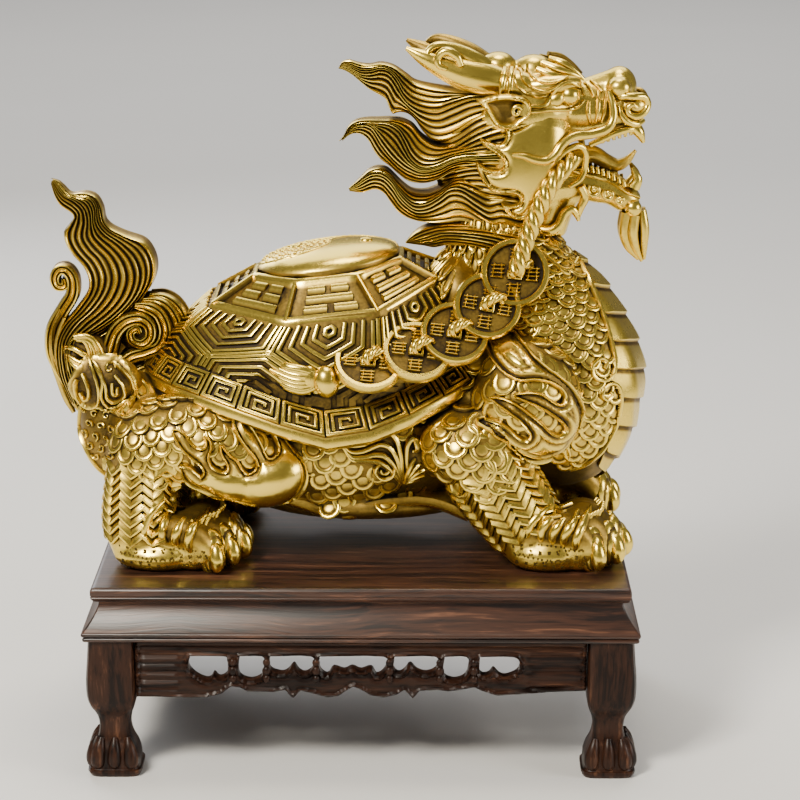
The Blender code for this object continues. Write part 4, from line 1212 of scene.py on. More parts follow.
circle = np.stack([np.cos(boss_angles), np.sin(boss_angles)], axis=-1)
boss_rings = boss_place(np.maximum(boss_shares, 0.01)[:, None, None] * circle, np.zeros((10, 56)))
boss_rings[-1, :, 2] -= 9.0
shell.roll(boss_rings, np.array([0.95] * 7 + [0.7, 0.2, 0.0])[:, None] * np.ones(56))
half_turn = np.linspace(0, math.pi, 13)
near_bow = np.stack([-0.29 + 0.29 * -np.cos(half_turn), -0.29 * np.sin(half_turn)], axis=-1)
far_bow = np.stack([0.29 - 0.29 * np.cos(half_turn), 0.29 * np.sin(half_turn)], axis=-1)
s_line = np.vstack([near_bow, far_bow[1:]])
shell.roll(drawn(s_line, 0.014, 0.5, boss_place, SOFT_RIB), 0.9)
for x, y, size in ((-0.29, 0.02, 0.05), (0.30, -0.04, 0.05)):
    ring = np.stack(
        [x + size * 0.7 * np.cos(boss_angles[::5]), y + size * 0.7 * np.sin(boss_angles[::5])], axis=-1
    )
    shell.roll(drawn(ring, size * 0.45, 1.1, boss_place, SOFT_RIB, closed=True), 0.9, closed=True)
    centre = boss_place(np.array((x, y)), 0.0)
    shell.roll(ball(centre, (2.6, 2.4, 1.5), rings=8, around=12), 0.95)
dots = []
for row in np.arange(-0.56, 0.57, 0.052):
    for column in np.arange(-0.56, 0.57, 0.052):
        x = column + 0.021 * math.sin(row * 91.0)
        y = row + 0.021 * math.sin(column * 77.0)
        near_lobe = math.hypot(x + 0.29, y) < 0.29
        far_lobe = math.hypot(x - 0.29, y) < 0.29
        if math.hypot(x, y) < 0.57 and ((y > 0 and not far_lobe) or near_lobe):
            dots.append(ball(boss_place(np.array((x, y)), 0.0), (1.15, 1.15, 0.75), rings=6, around=8))
shell.roll(np.array(dots), 0.85)

# The honeycomb below the ring
side_turns = np.arange(8 * 14) / 14.0
side_downs = np.linspace(-0.06, 1.06, 15)
side_grid = shell_side(side_turns[None, :], side_downs[:, None], np.full((15, 112), -0.1))
inner_turn = side_grid[::-1] - unit(side_grid[::-1] - np.array((-13.0, 0.0, 180.0))) * 5.0
shell.roll(np.moveaxis(np.concatenate([side_grid, inner_turn]), 0, 1), 0.08, closed=True)


def honeycomb(corner):
    """A placing function for a sector, in millimetres across from its middle and down from the ring."""

    def place(points, heights):
        turn = corner + 0.5 + points[..., 0] / SECTOR_WIDTH
        return shell_side(turn, points[..., 1] / SECTOR_DEPTH, heights)

    return place


def clipped_hexagon(radius, drop, low, high):
    """A pointed hexagon about (0, drop), open where it leaves the band between two depths."""
    corners = [(radius * math.sin(a), drop + radius * math.cos(a)) for a in np.radians(np.arange(6) * 60.0)]
    path = refined(corners, 1.6, closed=True)
    keep = (path[:, 1] > low) & (path[:, 1] < high)
    if keep.all():
        return [(path, True)]
    start = int(np.argmin(keep))
    path, keep = np.roll(path, -start, axis=0), np.roll(keep, -start)
    runs, run = [], []
    for point, kept in zip(path, keep):
        if kept:
            run.append(point)
        elif run:
            runs.append((np.array(run), False))
            run = []
    if run:
        runs.append((np.array(run), False))
    return [r for r in runs if len(r[0]) > 2]


for corner in range(8):
    for middle_shift, drop in ((0.0, 5.0), (SECTOR_WIDTH / 2, 44.0)):
        place_on = honeycomb(corner)
        for count in range(6):
            radius = (2.0 + count * PLATE_PITCH) / math.cos(math.radians(30))
            for path, closed in clipped_hexagon(radius, drop, 0.8, SECTOR_DEPTH - 0.8):
                path = path + (middle_shift, 0.0)
                shell.roll(
                    drawn(path, 1.15, 1.7, place_on, closed=closed), polish_of(FLAT_RIB), closed=closed
                )

# The rim: one band of framed squares on a lip of brass
rim_turns = np.arange(RIM_UNITS) * 8.0 / RIM_UNITS
rim_profile = [
    (80.0, 9.0, 0.0), (84.5, 10.2, 0.1), (91.5, 0.4, 0.1), (93.0, -1.4, 0.85), (92.8, -5.6, 0.9),
    (91.0, -7.2, 0.6), (84.0, -9.0, 0.3), (70.0, -11.0, 0.0),
]


def rim_ring(radius, height):
    """One line of the rim, straight between the corners of its squares."""
    corners = rim_edge(rim_turns, radius, height)
    return shell_place(
        np.stack([corners, (corners + np.roll(corners, -1, axis=0)) / 2], axis=1).reshape(-1, 3)
    )


rim_rings = np.stack([rim_ring(radius, height) for radius, height, _ in rim_profile], axis=1)
shell.roll(
    rim_rings, np.array([p for *_, p in rim_profile])[None, :] * np.ones((RIM_UNITS * 2, 1)), closed=True
)


def rim_square(count):
    """A placing function for one square of the rim: 0 to 1 along the rim, and 0 to 1 outwards."""
    turns = (count * 8.0 / RIM_UNITS, (count + 1) * 8.0 / RIM_UNITS)
    corners = [
        [shell_place(rim_edge(turn, radius, height)) for turn in turns]
        for radius, height in ((84.6, 10.6), (92.6, 0.0))
    ]
    normal = unit(np.cross(corners[0][1] - corners[0][0], corners[1][0] - corners[0][0]))
    normal = normal if normal[2] > 0 else -normal

    def place(points, heights):
        a, b = points[..., :1], points[..., 1:]
        inner_line = corners[0][0] * (1 - a) + corners[0][1] * a
        outer_line = corners[1][0] * (1 - a) + corners[1][1] * a
        return inner_line * (1 - b) + outer_line * b + normal * heights[..., None]

    return place


SPIRAL = [
    (4.0, 13.2), (4.0, 3.4), (15.6, 3.4), (15.6, 12.0), (7.4, 12.0), (7.4, 6.8), (12.2, 6.8), (12.2, 8.9)
]
for count in range(RIM_UNITS):
    square = rim_square(count)
    place_on = lambda p, h, square=square: square(p / (19.6, 16.0), h)
    frame_line = refined([(1.35, 1.2), (18.25, 1.2), (18.25, 14.9), (1.35, 14.9)], 5.0, closed=True)
    shell.roll(drawn(frame_line, 1.15, 1.5, place_on, closed=True), polish_of(FLAT_RIB), closed=True)
    line = refined(SPIRAL, 20.0)
    shell.roll(drawn(line, 0.95, 1.45, place_on), polish_of(FLAT_RIB))

casting_shell = shell.cast("casting_shell", carved_brass)
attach(casting_shell, "root")
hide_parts("dragon_turtle")


# Coin string: five cast coins that overlap on the shell, each with a raised rim, a square hole and rows of
# worn strokes, on a twisted cord with a bead and a tassel. All of it is part of the same casting.
COIN_RADIUS = 17.2
COIN_THICKNESS = 5.0
COINS = [
    ((13.0, -56.0, 208.0), 50.0, 6.0),
    ((37.0, -53.0, 213.0), 48.0, 8.0),
    ((56.0, -47.0, 221.0), 42.0, 10.0),
    ((72.5, -41.0, 234.0), 30.0, 12.0),
    ((86.5, -35.0, 250.0), 16.0, 6.0),
]
coins = Wax()


def coin_face(centre, lean, roll):
    """A placing function for a coin's near face: x to the right, y up it, heights off the face."""
    lean, roll = math.radians(lean), math.radians(roll)
    right = np.array((math.cos(roll), 0.0, -math.sin(roll)))
    out = np.array((0.0, -math.cos(lean), math.sin(lean)))
    out = unit(out - right * (out @ right))
    up = np.cross(out, right)

    def place(points, heights):
        return np.array(centre) + right * points[..., :1] + up * points[..., 1:] + out * (
            heights[..., None] + COIN_THICKNESS / 2
        )

    return place


def circle_line(radius, count=48):
    """A circle about the origin."""
    angle = np.arange(count) * 2 * math.pi / count
    return np.stack([radius * np.cos(angle), radius * np.sin(angle)], axis=-1)


STROKES = [
    [(-2.6, 1.8), (2.4, 2.2)], [(-2.2, 0.5), (2.2, 0.8)], [(-2.4, -0.9), (2.4, -0.6)],
    [(-1.4, 2.6), (-1.7, -2.4)], [(1.2, 2.7), (1.5, -2.3)], [(-2.4, -2.3), (2.0, -2.2)],
]
for centre, lean, roll_angle in COINS:
    face = coin_face(centre, lean, roll_angle)
    steps = [
        (0.5, -1.8, 0.0), (COIN_RADIUS - 3.2, -1.8, 0.0), (COIN_RADIUS - 3.0, -0.2, 0.6),
        (COIN_RADIUS - 2.5, 0.35, 1.0), (COIN_RADIUS - 0.7, 0.35, 1.0), (COIN_RADIUS, -0.5, 0.95),
        (COIN_RADIUS, -4.4, 0.6), (COIN_RADIUS - 0.8, -5.2, 0.3), (0.5, -5.2, 0.1)
    ]
    rings = np.stack([face(circle_line(radius), np.full(48, height)) for radius, height, _ in steps])
    coins.roll(rings, np.array([p for *_, p in steps])[:, None] * np.ones(48))
    hole = refined([(-2.9, -2.9), (2.9, -2.9), (2.9, 2.9), (-2.9, 2.9)], 3.0, closed=True)
    coins.roll(
        drawn(hole, 0.75, 2.1, lambda p, h: face(p, h - 1.5), closed=True), polish_of(FLAT_RIB), closed=True
    )
    for quarter in range(4):
        turn_angle = quarter * math.pi / 2
        middle = 8.9 * np.array((math.sin(turn_angle), math.cos(turn_angle)))
        for stroke in STROKES:
            line = refined(np.array(stroke) * 1.4 + middle, 6.0)
            coins.roll(drawn(line, 0.5, 1.8, lambda p, h: face(p, h - 1.8), SOFT_RIB), 0.95)


def twisted(points, thickness, pitch, plies=3, steps=10):
    """Plies of a twisted cord round a line."""
    line = curve(points, steps)[:, :3]
    length = np.concatenate([[0], np.cumsum(np.linalg.norm(np.diff(line, axis=0), axis=1))])
    fine = np.linspace(0, length[-1], int(length[-1] / 0.8) + 2)
    line = np.stack([np.interp(fine, length, line[:, k]) for k in range(3)], axis=-1)
    along = unit(np.gradient(line, axis=0))
    side = unit(np.cross(along, (0.0, -1.0, 0.3)))
    over = np.cross(side, along)
    found = []
    for ply in range(plies):
        angle = fine / pitch * 2 * math.pi + ply * 2 * math.pi / plies
        out = side * np.cos(angle)[:, None] + over * np.sin(angle)[:, None]
        found.append(ridge(line + out * thickness * 0.5, thickness * 0.55, thickness * 0.55, ROUND, out))
    return found


CORD = [
    (116, -19, 306), (107, -27, 297), (101, -30, 288), (94, -33, 272), (89, -38.5, 258), (86.5, -40, 251)
]
for ply in twisted(CORD, 4.5, 21.0):
    coins.roll(ply, polish_of(ROUND))
for coin in COINS:
    face = coin_face(*coin)
    loop = [
        face(np.array(spot, float), np.array(height))
        for spot, height in (
            ((-1.6, -1.6), -2.0), ((-0.6, 0.6), 2.2), ((2.4, 3.4), 3.2), ((5.6, 5.0), 1.6),
            ((6.6, 4.0), -2.5)
        )
    ]
    for ply in twisted(loop, 2.9, 13.0):
        coins.roll(ply, polish_of(ROUND))
BEAD = (-8.0, -58.0, 199.0)
bead_rings = ball(BEAD, (6.6, 6.6, 8.3), 8.0, rings=20, around=28)
coins.roll(bead_rings, 0.95)
tassel_tips = [
    (-44, -50, 207, -1), (-40, -51, 203, -3), (-36, -52, 200, -5), (-30, -54, 196, -6),
    (-42, -50, 209, 1.5), (-34, -51, 210, 4), (-26, -53, 209, 5)
]
for x, y, z, spread in tassel_tips:
    strand = curve(
        [
            (-13, -58, 200 + spread * 0.55, 1.9), (-20, -59, 200.5 + spread, 2.3),
            (-28, -57, 202 + spread, 1.9), (x, y, z, 0.5)
        ],
        6
    )
    coins.roll(ridge(strand, strand[:, 3], strand[:, 3], ROUND), polish_of(ROUND))
coins.roll(ball((-16.5, -57, 200.5), (5.5, 4.5, 6.8), 8.0), 0.9)
casting_coins = coins.cast("casting_coins", carved_brass)
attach(casting_coins, "root")
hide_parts("dragon_turtle")


# Mane: three wavy locks on each side that stream back from the cheeks, carved as fluted strands between
# guide lines, over darker hair on the back of the neck.


def plume(guides, ridges, thick, rise=2.3, steps=60, samples=5, middle=0.0, strength=None):
    """A lens-shaped lock of fluted strands between guide lines of the side view, and its polish.

    The guides run from root to tip, and thick gives the half thickness at even steps along them.
    """
    lines = np.array([resampled(curve(guide, 8), steps) for guide in guides])
    fine = curve(lines.reshape(len(guides), -1), 12)
    share = np.linspace(0, 1, ridges * samples + 1)
    where = share * (len(fine) - 1)
    low = np.minimum(where.astype(int), len(fine) - 2)
    part = (where - low)[:, None]
    flat = (fine[low] * (1 - part) + fine[low + 1] * part).reshape(len(share), steps, 2)
    wave = np.abs(np.sin(math.pi * ridges * share)) ** 1.25
    which = np.minimum((share * ridges).astype(int), ridges - 1)
    pattern = np.array(strength or (1.0, 0.62, 0.86, 0.5, 0.95, 0.7))[which % len(strength or range(6))]
    wave = wave * pattern
    half = np.interp(np.linspace(0, 1, steps), np.linspace(0, 1, len(thick)), thick)
    swell = np.sqrt(np.clip(1 - (2 * share - 1) ** 2, 0, 1)) ** 0.8
    taper = np.minimum(1.0, half / 4.0)
    depth = half[None, :] * (
        0.25 + 0.75 * swell[:, None]
    ) * (swell[:, None] > 0) + rise * wave[:, None] * taper[None, :]
    depth = np.maximum(depth, 0.12)
    near = np.stack([flat[..., 0], middle - depth, flat[..., 1]], axis=-1)
    far = near[::-1] * (1, -1, 1) + (0, 2 * middle, 0)
    shine = np.clip(wave * 1.15, 0, 1)
    return np.concatenate([near, far]).transpose(1, 0, 2), np.concatenate([shine, shine[::-1]])[None, :]


MANE_LOCKS = [
    (
        [
            [
                (90, 333), (76, 338), (62.5, 337.5), (49.7, 339.4), (36.8, 342.3), (31.7, 345.8),
                (25.2, 350), (18.8, 351.5), (13.1, 350.6), (7.3, 351.3), (2.8, 352.7), (-1, 351.6),
                (-3, 348)
            ],
            [
                (90, 326), (76, 334), (65, 335), (54.8, 331.3), (47.8, 328.4), (40.7, 328.7), (34.3, 331.3),
                (30.1, 335.2), (27.2, 340.3), (23.3, 345.5), (18.9, 347), (13.7, 345.8), (8.6, 345.8),
                (3.5, 348.3), (-0.4, 349.3), (-2.9, 348.3)
            ],
            [
                (92, 318), (80, 324), (72.9, 323.6), (65.8, 319), (57.5, 313.8), (49.8, 311.2),
                (43.9, 312.5), (39.4, 317.1), (36.2, 322.2), (32.3, 325.5), (27.8, 326.1), (24.6, 324.8),
                (22.7, 328.1), (20.8, 332.6), (16.9, 335.1), (12.4, 337.7), (7.9, 341.6), (4.1, 344.8),
                (0.3, 347), (-2.9, 348)
            ],
        ],
        9,
        (18, 17, 15, 12, 9, 6, 3.5, 0.6),
    ),
    (
        [
            [
                (92, 318), (80, 320), (71.6, 317.8), (62.6, 312.5), (53.6, 310.6), (45.9, 310.9),
                (39.4, 315.1), (34.9, 320.3), (29.1, 322.9), (23.3, 323.2), (17.5, 322.9), (11.7, 322.9),
                (5.9, 321.9), (2.1, 319), (-0.5, 313.8), (-2.8, 311.2)
            ],
            [
                (92, 306), (80, 309), (69.1, 308), (60.7, 307.3), (53.7, 305.4), (46.6, 302.1),
                (39.5, 301.4), (34.3, 305.3), (31.1, 311.2), (27.8, 317), (22.7, 320.3), (16.9, 320.9),
                (11.7, 320.9), (6.6, 320.3), (2.7, 317.7), (-0.6, 313.1), (-2.5, 311)
            ],
            [
                (92, 300), (80, 303), (69.8, 303.4), (61.4, 304.1), (54.3, 302.1), (47.9, 298.8),
                (40.1, 296.9), (33.6, 298.8), (27.8, 302.7), (22.7, 307.9), (18.2, 313.8), (14.3, 319),
                (9.8, 320.3), (5.3, 319), (2, 315.7), (-1.2, 311.8)
            ],
            [
                (92, 292), (80, 294), (69.9, 296.3), (61.4, 297.6), (54.3, 296.2), (47.9, 292.3),
                (40.8, 290.3), (33, 291), (27.2, 294.9), (22.7, 298.8), (18.1, 302.1), (14.9, 306),
                (12.3, 311.2), (9.1, 314.4), (5.3, 315.1), (2, 313.8), (-1.2, 310.8)
            ],
        ],
        12,
        (22, 21, 19, 16, 12, 9, 5, 0.6),
    ),
    (
        [
            [
                (94, 290), (82, 291), (70.5, 294.3), (62.8, 295.6), (56.3, 294.3), (49.8, 289),
                (42.1, 285.7), (34.3, 286.4), (29.1, 290.3), (25.2, 294.2), (21.4, 297.5), (16.8, 298.1),
                (12.3, 296.5), (7.8, 292.2), (1.9, 286.6)
            ],
            [
                (96, 278), (86, 279), (79.1, 280.5), (73.2, 279.2), (66.1, 283.1), (59.6, 287.1),
                (53.7, 287.1), (48.6, 283.1), (42.1, 279.1), (35.6, 278.5), (29.1, 283.7), (24.6, 290.3),
                (20.1, 294.2), (15.5, 294.9), (11, 292.9), (6.4, 289), (2.2, 286)
            ],
            [
                (99, 260), (89, 262.1), (79.2, 263.4), (70.7, 267.3), (61.6, 269.9), (51.2, 269.3),
                (42.1, 269.9), (34.3, 271.2), (27.8, 274.5), (23.3, 279.8), (20, 284.4), (15.5, 286.3),
                (9, 284.4), (2.5, 285)
            ],
        ],
        9,
        (20, 20, 19, 16, 12, 9, 5, 0.6),
    ),
]
MANE_MASS = [
    [(94, 334), (84, 336), (70, 335), (58, 328), (50, 318)],
    [(94, 322), (82, 324), (68, 319), (56, 311), (44, 308)],
    [(94, 308), (82, 309), (68, 307), (54, 303), (44, 300)],
    [(95, 294), (82, 295), (68, 296), (57, 293.5), (50, 290)],
    [(97, 278), (86, 280), (72, 281), (60, 284), (50, 286)],
    [(101, 259), (90, 262), (76, 266), (62, 272), (52, 271)],
]
NAPE = [
    [(90, 268), (76, 270), (62, 271), (50, 270), (41, 267.4), (35, 263.6), (31, 258.4)],
    [(88, 260), (74, 264), (62, 265.4), (51, 264.6), (43.5, 261.6), (37.5, 259.6), (31.4, 258.2)],
    [(86, 250), (72, 256), (62, 258.4), (53, 258.4), (46, 256.6), (40, 257.4), (31.8, 257.9)],
]
mane = Wax()
for guides, ridges, thick in [
    *MANE_LOCKS, (MANE_MASS, 22, (22, 21.5, 20, 17, 12, 1.0)), (NAPE, 8, (22, 23, 22, 19, 13, 6, 0.8))
]:
    rings, shine = plume(guides, ridges, thick)
    mane.roll(rings, shine)
casting_mane = mane.cast("casting_mane", carved_brass)
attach(casting_mane, "root")
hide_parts("dragon_turtle")


# Tail: a flame-shaped plume of fluted strands on the rump, with a curl behind it and a scroll in front.
TAIL_BACK = [
    (-143, 176), (-149, 190), (-150.2, 203.1), (-147.4, 214.1), (-140.1, 223.4), (-133.6, 232.7),
    (-132.6, 239.5), (-135.2, 246.2), (-140.4, 252), (-143.9, 257.9), (-144.9, 263.7), (-141.9, 267.9),
    (-139.4, 271.2), (-140.9, 274.1), (-146.1, 277.4), (-149.2, 282.8), (-150.7, 288.5)
]
TAIL_SECOND = [
    (-138, 176), (-143, 192), (-144, 207), (-137.9, 217.1), (-128.6, 225.6), (-122.6, 234), (-120.7, 242.4),
    (-123.8, 250.8), (-129.3, 256.6), (-132.9, 262.4), (-132.2, 269.9), (-133.7, 276.5), (-138.4, 280.7),
    (-144, 283.1), (-148, 288.1), (-150.3, 290.1)
]
TAIL_THIRD = [
    (-132, 178), (-138, 194), (-139.9, 208.7), (-129.8, 214.6), (-118.8, 222.3), (-110.3, 231.5),
    (-106.8, 241.6), (-109, 250.8), (-115.4, 258.3), (-123.4, 264.1), (-127.3, 269.9), (-127.5, 276.6),
    (-130.2, 281.5), (-135.9, 282.7), (-140.8, 283.6), (-144.7, 288.1), (-149.1, 291)
]
TAIL_FRONT = [
    (-126, 180), (-131, 196), (-131.5, 206), (-120.9, 212.7), (-109.9, 223.2), (-101.5, 233.6),
    (-97, 242.9), (-97.5, 252.1), (-102.6, 260), (-112.2, 263.4), (-119.3, 266.6), (-122.9, 270.5),
    (-123.9, 277), (-127.5, 283), (-133.7, 284.9), (-140.2, 284), (-143.4, 287), (-146.6, 290.4),
    (-150.6, 291.4)
]
tail = Wax()
rings, shine = plume(
    [TAIL_BACK, TAIL_SECOND, TAIL_THIRD, TAIL_FRONT], 11, (17, 16, 14, 12.5, 11, 9, 6.5, 4, 1.0), rise=2.8,
    steps=72, samples=7
)
tail.roll(rings, shine)
TAIL_CURL = [
    (-139, 176, 4), (-148.1, 192, 4.4), (-152, 202, 4.2), (-151.4, 213, 4), (-146.5, 222.5, 3.8),
    (-141.3, 231, 3.6), (-140.6, 239, 3.3), (-143.5, 244, 3.1), (-147.6, 244.2, 2.9), (-150, 240, 2.7),
    (-148.6, 235.7, 2.5), (-144.8, 236, 2.2), (-145, 239.6, 1.6)
]
GROOVED = [
    (-1, -0.9, 0.1), (-1, 0.1, 0.4), (-0.8, 0.75, 1.0), (-0.62, 0.8, 1.0), (-0.42, 0.42, 0.1),
    (-0.26, 0.75, 0.8),
    (0, 1.0, 1.0), (0.26, 0.75, 0.8), (0.42, 0.42, 0.1), (0.62, 0.8, 1.0), (0.8, 0.75, 1.0), (1, 0.1, 0.4),
    (1, -0.9, 0.1),
]


def scroll(points, depth, section=GROOVED, steps=7, deep=1.0):
    """A carved band along (x, z, half width) rows, standing this far out on the near side."""
    line = curve([(x, 0.0, z, half) for x, z, half in points], steps)
    rings = ridge(line, line[:, 3], line[:, 3] * deep, section)
    rings[..., 1] -= depth
    return rings


tail.roll(scroll(TAIL_CURL, 3.5), polish_of(GROOVED), both=True)
curl_line = curve([(x, 0, z, r) for x, z, r in TAIL_CURL], 7)
tail.roll(ridge(curl_line, curl_line[:, 3] * 0.96, np.full(len(curl_line), 4.2), ROUND), 0.3)
TAIL_SCROLL = [
    (-128, 186, 4.5), (-122, 203, 4.2), (-118.4, 213.4, 4), (-112.5, 219.3, 3.8), (-105.5, 220.6, 3.6),
    (-100.6, 217, 3.3), (-100.4, 211, 3.1), (-104.6, 207.5, 2.9), (-109.3, 209, 2.6), (-110.4, 213.2, 2.3),
    (-107.2, 215.4, 2), (-105.6, 213, 1.5)
]
SCROLL_OUTER = [
    [
        (-124, 176, 3.5), (-119, 189, 3.6), (-112, 199, 3.6), (-103, 202.3, 3.6), (-95.5, 206, 3.6),
        (-92.6, 214, 3.6), (-95.6, 222.6, 3.4), (-102, 226.4, 3.0), (-108, 227, 1.5)
    ],
    [
        (-118, 176, 3.5), (-111, 188, 3.6), (-102, 193, 3.6), (-92, 198, 3.6), (-87.0, 206.5, 3.6),
        (-87, 216, 3.6), (-91, 224.6, 3.3), (-97, 228.6, 2.8), (-104.5, 229.4, 1.2)
    ],
    [
        (-112, 176, 3), (-101, 185, 3.2), (-90, 191, 3.2), (-83.6, 200, 3.2), (-81.8, 210, 3.2),
        (-83.6, 219, 3), (-88, 226.4, 2.8), (-94, 230.4, 2.2), (-101, 231.4, 1)
    ],
]
tail.roll(scroll(TAIL_SCROLL, 12.5), polish_of(GROOVED), both=True)
for depth, row in zip((10.5, 8.0, 5.5), SCROLL_OUTER):
    tail.roll(scroll(row, depth), polish_of(GROOVED), both=True)
for x, z, radius, half in ((-105, 213, 14, 12), (-98, 211, 16, 8)):
    tail.roll(ball((x, 0, z), (radius, half, radius)), 0.1)
tail.roll(ball((-131, -10, 204), (12, 9, 9), -20), 0.0, both=True)
tail.roll(ball((-140, -9, 201), (8, 8, 6)), 0.0, both=True)
for row in (
    [(-138.6, 212.2), (-134, 213), (-129.1, 210.9), (-126, 205.9), (-123.7, 200.8), (-120, 199.1)],
    [
        (-138.6, 212.2), (-133.3, 210.1), (-131, 205), (-131.1, 200.8), (-134.5, 198.2), (-141, 200.8),
        (-145.9, 203.3)
    ],
    [(-137.4, 211.3), (-131.6, 210.1), (-128.5, 205.9), (-127, 199.9), (-122.9, 198.3)],
    [(-145.7, 204.7), (-140.3, 206), (-134.6, 203.5), (-132.2, 200.9), (-135.6, 199.2)],
    [(-145.7, 204.7), (-142.9, 200.9), (-138.1, 196.7), (-132.4, 195.8)],
    [(-148.3, 197), (-146.8, 192.8), (-143.5, 192.8), (-142.5, 197), (-144.9, 200.4)],
):
    line = [(x, -19.0 + 0.9 * max(0.0, -138.0 - x), z, 1.5) for x, z in row]
    tail.roll(lock(line), polish_of(ROUND), both=True)
for row, y in (
    (
        [
            (-147.5, 224), (-150.8, 216), (-152.4, 208), (-152.4, 198.4), (-150, 189), (-145.8, 176.2),
            (-142.0, 168.6)
        ],
        -5.0
    ),
    (
        [(-145, 220), (-147.6, 213), (-148.8, 206), (-148.6, 197), (-146, 188), (-142, 177), (-139, 171)],
        -8.5
    ),
):
    sizes = np.interp(np.arange(7), (0, 2, 5, 6), (THINNEST, 1.9, 1.9, 1.2))
    tail.roll(
        lock([(x, y, z, size) for (x, z), size in zip(row, sizes)]), polish_of(ROUND) * 0.6, both=True
    )
casting_tail = tail.cast("casting_tail", carved_brass)
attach(casting_tail, "root")
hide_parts("dragon_turtle")


# Head: smooth burnished brass, an open mouth with tusks and tongue, deep brows, leaf ears, finned cheeks,
# two horns swept back, and a beard under the chin.
smooth_brass = brass_finish("burnished brass", reach=0.0035, stain=40.0, bump=0.07)
skull = [
    ball((92, 0, 327), (29, 25, 19), 8),
    ball((90, 0, 302), (23, 26, 28)),
    lock([(98, 0, 326, 18), (120, 0, 327, 16), (136, 0, 327, 12.5), (147, 0, 325, 9)], flat=0.95),
    ball((139.5, 0, 339), (9, 10, 10.5)),
    lock([(122, 0, 335, 8), (131, 0, 337.5, 8.5), (139, 0, 340, 9)], flat=0.9),
    lock(
        [
            (96, 0, 288, 15), (112, 0, 289, 12), (122, 0, 289.5, 9.5), (130, 0, 288, 9), (137, 0, 286, 8.2),
            (144, 0, 281.5, 7.6), (148, 0, 278, 6)
        ],
        flat=1.1
    ),
    lock([(110, 0, 287, 12), (106, 0, 278, 12), (102, 0, 266, 12)]),
    *both_of(
        [
            ball((139, -9, 339.5), (6, 5, 5.5)),
            ball((147, -6, 330.5), (6.5, 6, 5.5)),
            ball((104, -14, 342), (16, 8, 6.0), 4),
            ball((86, -13, 341), (12, 9, 8)),
        ]
    ),
    *[
        ball((x, 0, z), (r, 9, r * 0.75))
        for x, z, r in ((78, 350, 9), (96, 347.5, 10.5), (110, 345, 7), (122, 337, 6))
    ],
]
head_points, head_faces = blended(skull, 0.95, 4)
head_skin = BVHTree.FromPolygons(head_points.tolist(), head_faces)
head = Wax()
head.press(head_points, head_faces, 0.8)


def tube(rows, polish=1.0):
    """A tapering tube of the head, on both sides."""
    head.roll(lock(rows), np.clip(polish_of(ROUND) * 1.4, 0, polish), both=True)


# Cheeks with three fins, whose edges carry a groove
CHEEK = [
    (80.3, 321.3), (81.4, 318.9), (81.1, 315.9), (78.8, 313.5), (74.2, 313.9), (68.8, 315.8), (70.0, 312.8),
    (74.2, 309.7), (78.5, 306.6),
    (80.4, 303.5), (79.3, 300.8), (75.9, 300.4), (71.2, 301.5), (67.0, 305.4), (67.0, 301.1), (69.0, 296.5),
    (72.1, 291.4), (76.7, 288.7),
    (82.9, 287.9), (86.7, 287.5), (88.5, 285.6), (87.6, 283.2), (83.7, 282.4), (79.5, 283.4), (81.4, 279.3),
    (85.7, 275.0), (90.0, 274.2),
    (93.8, 276.2), (97.6, 282.5), (100.6, 287.9), (105.1, 294.2), (107.3, 300.4), (108.8, 304.3),
    (112.6, 310.5), (115.0, 317.0),
    (113.0, 323.0), (106.0, 326.0), (96.0, 327.0), (89.4, 324.4),
]
FIN_PROFILE = [
    (0, -1.0, 0.3), (0.4, 0.7, 0.9), (1.3, 1.5, 1.0), (2.0, 1.1, 0.9), (2.5, 0.2, 0.0), (3.0, 1.1, 0.8),
    (4.5, 1.6, 1.0), (20, 1.8, 1.0)
]
flat, faces, edge = sheet([looped(CHEEK)], 0.75)
x, z = flat[:, 0], flat[:, 1]
heights, shine = profiled(edge, FIN_PROFILE)
merged = np.clip((x - 89.0) / 6.0, 0, 1)
heights = heights * (1 - merged) + 1.4 * np.clip(edge / 4.0, 0, 1) * merged
shine = shine * (1 - merged) + merged * 0.9
depth = -25.8 + 5.0 * ((z - 300) / 35) ** 2 + 3.0 * ((x - 97) / 30) ** 2 + 14.0 * (
    np.maximum(x - 101, 0) / 20
) ** 2
thickened(
    head, np.stack([x, depth - heights, z], axis=-1), np.stack([x, depth * 0 - 14.0, z], axis=-1), faces,
    shine, both=True
)

# Ears: leaves hollowed like a spoon, with a curl in front
EAR = [
    (66.5, 336.0), (75.4, 338.4), (83.0, 338.8), (89.6, 337.6), (93.4, 334.6), (94.0, 330.2), (92.6, 326.8),
    (89.3, 324.4), (86.2, 322.0),
    (81.2, 321.3), (75.8, 323.4), (72.0, 329.4), (69.4, 333.0),
]
EAR_PROFILE = [
    (0, -1.2, 0.4), (0.5, 1.2, 0.9), (1.4, 2.0, 1.0), (2.4, 1.2, 0.8), (3.6, -1.0, 0.1), (5.5, -2.6, 0.0),
    (9, -3.0, 0.0)
]
flat, faces, edge = sheet([looped(EAR)], 0.75)
x, z = flat[:, 0], flat[:, 1]
heights, shine = profiled(edge, EAR_PROFILE)
depth = -27.5 - 0.10 * (90 - x)
thickened(
    head, np.stack([x, depth - heights, z], axis=-1),
    np.stack([x, depth + 4.5 - 0.06 * (90 - x), z], axis=-1), faces, shine, both=True
)
tube([(90.5, -24, 331, 3.6), (90.0, -28.5, 331, 3.0)])
curl = spiral((86.8, 330.4), 3.0, 1.1, 0.4, thick=1.25)
tube([(x, -28.2, z, half) for x, z, half in curl])

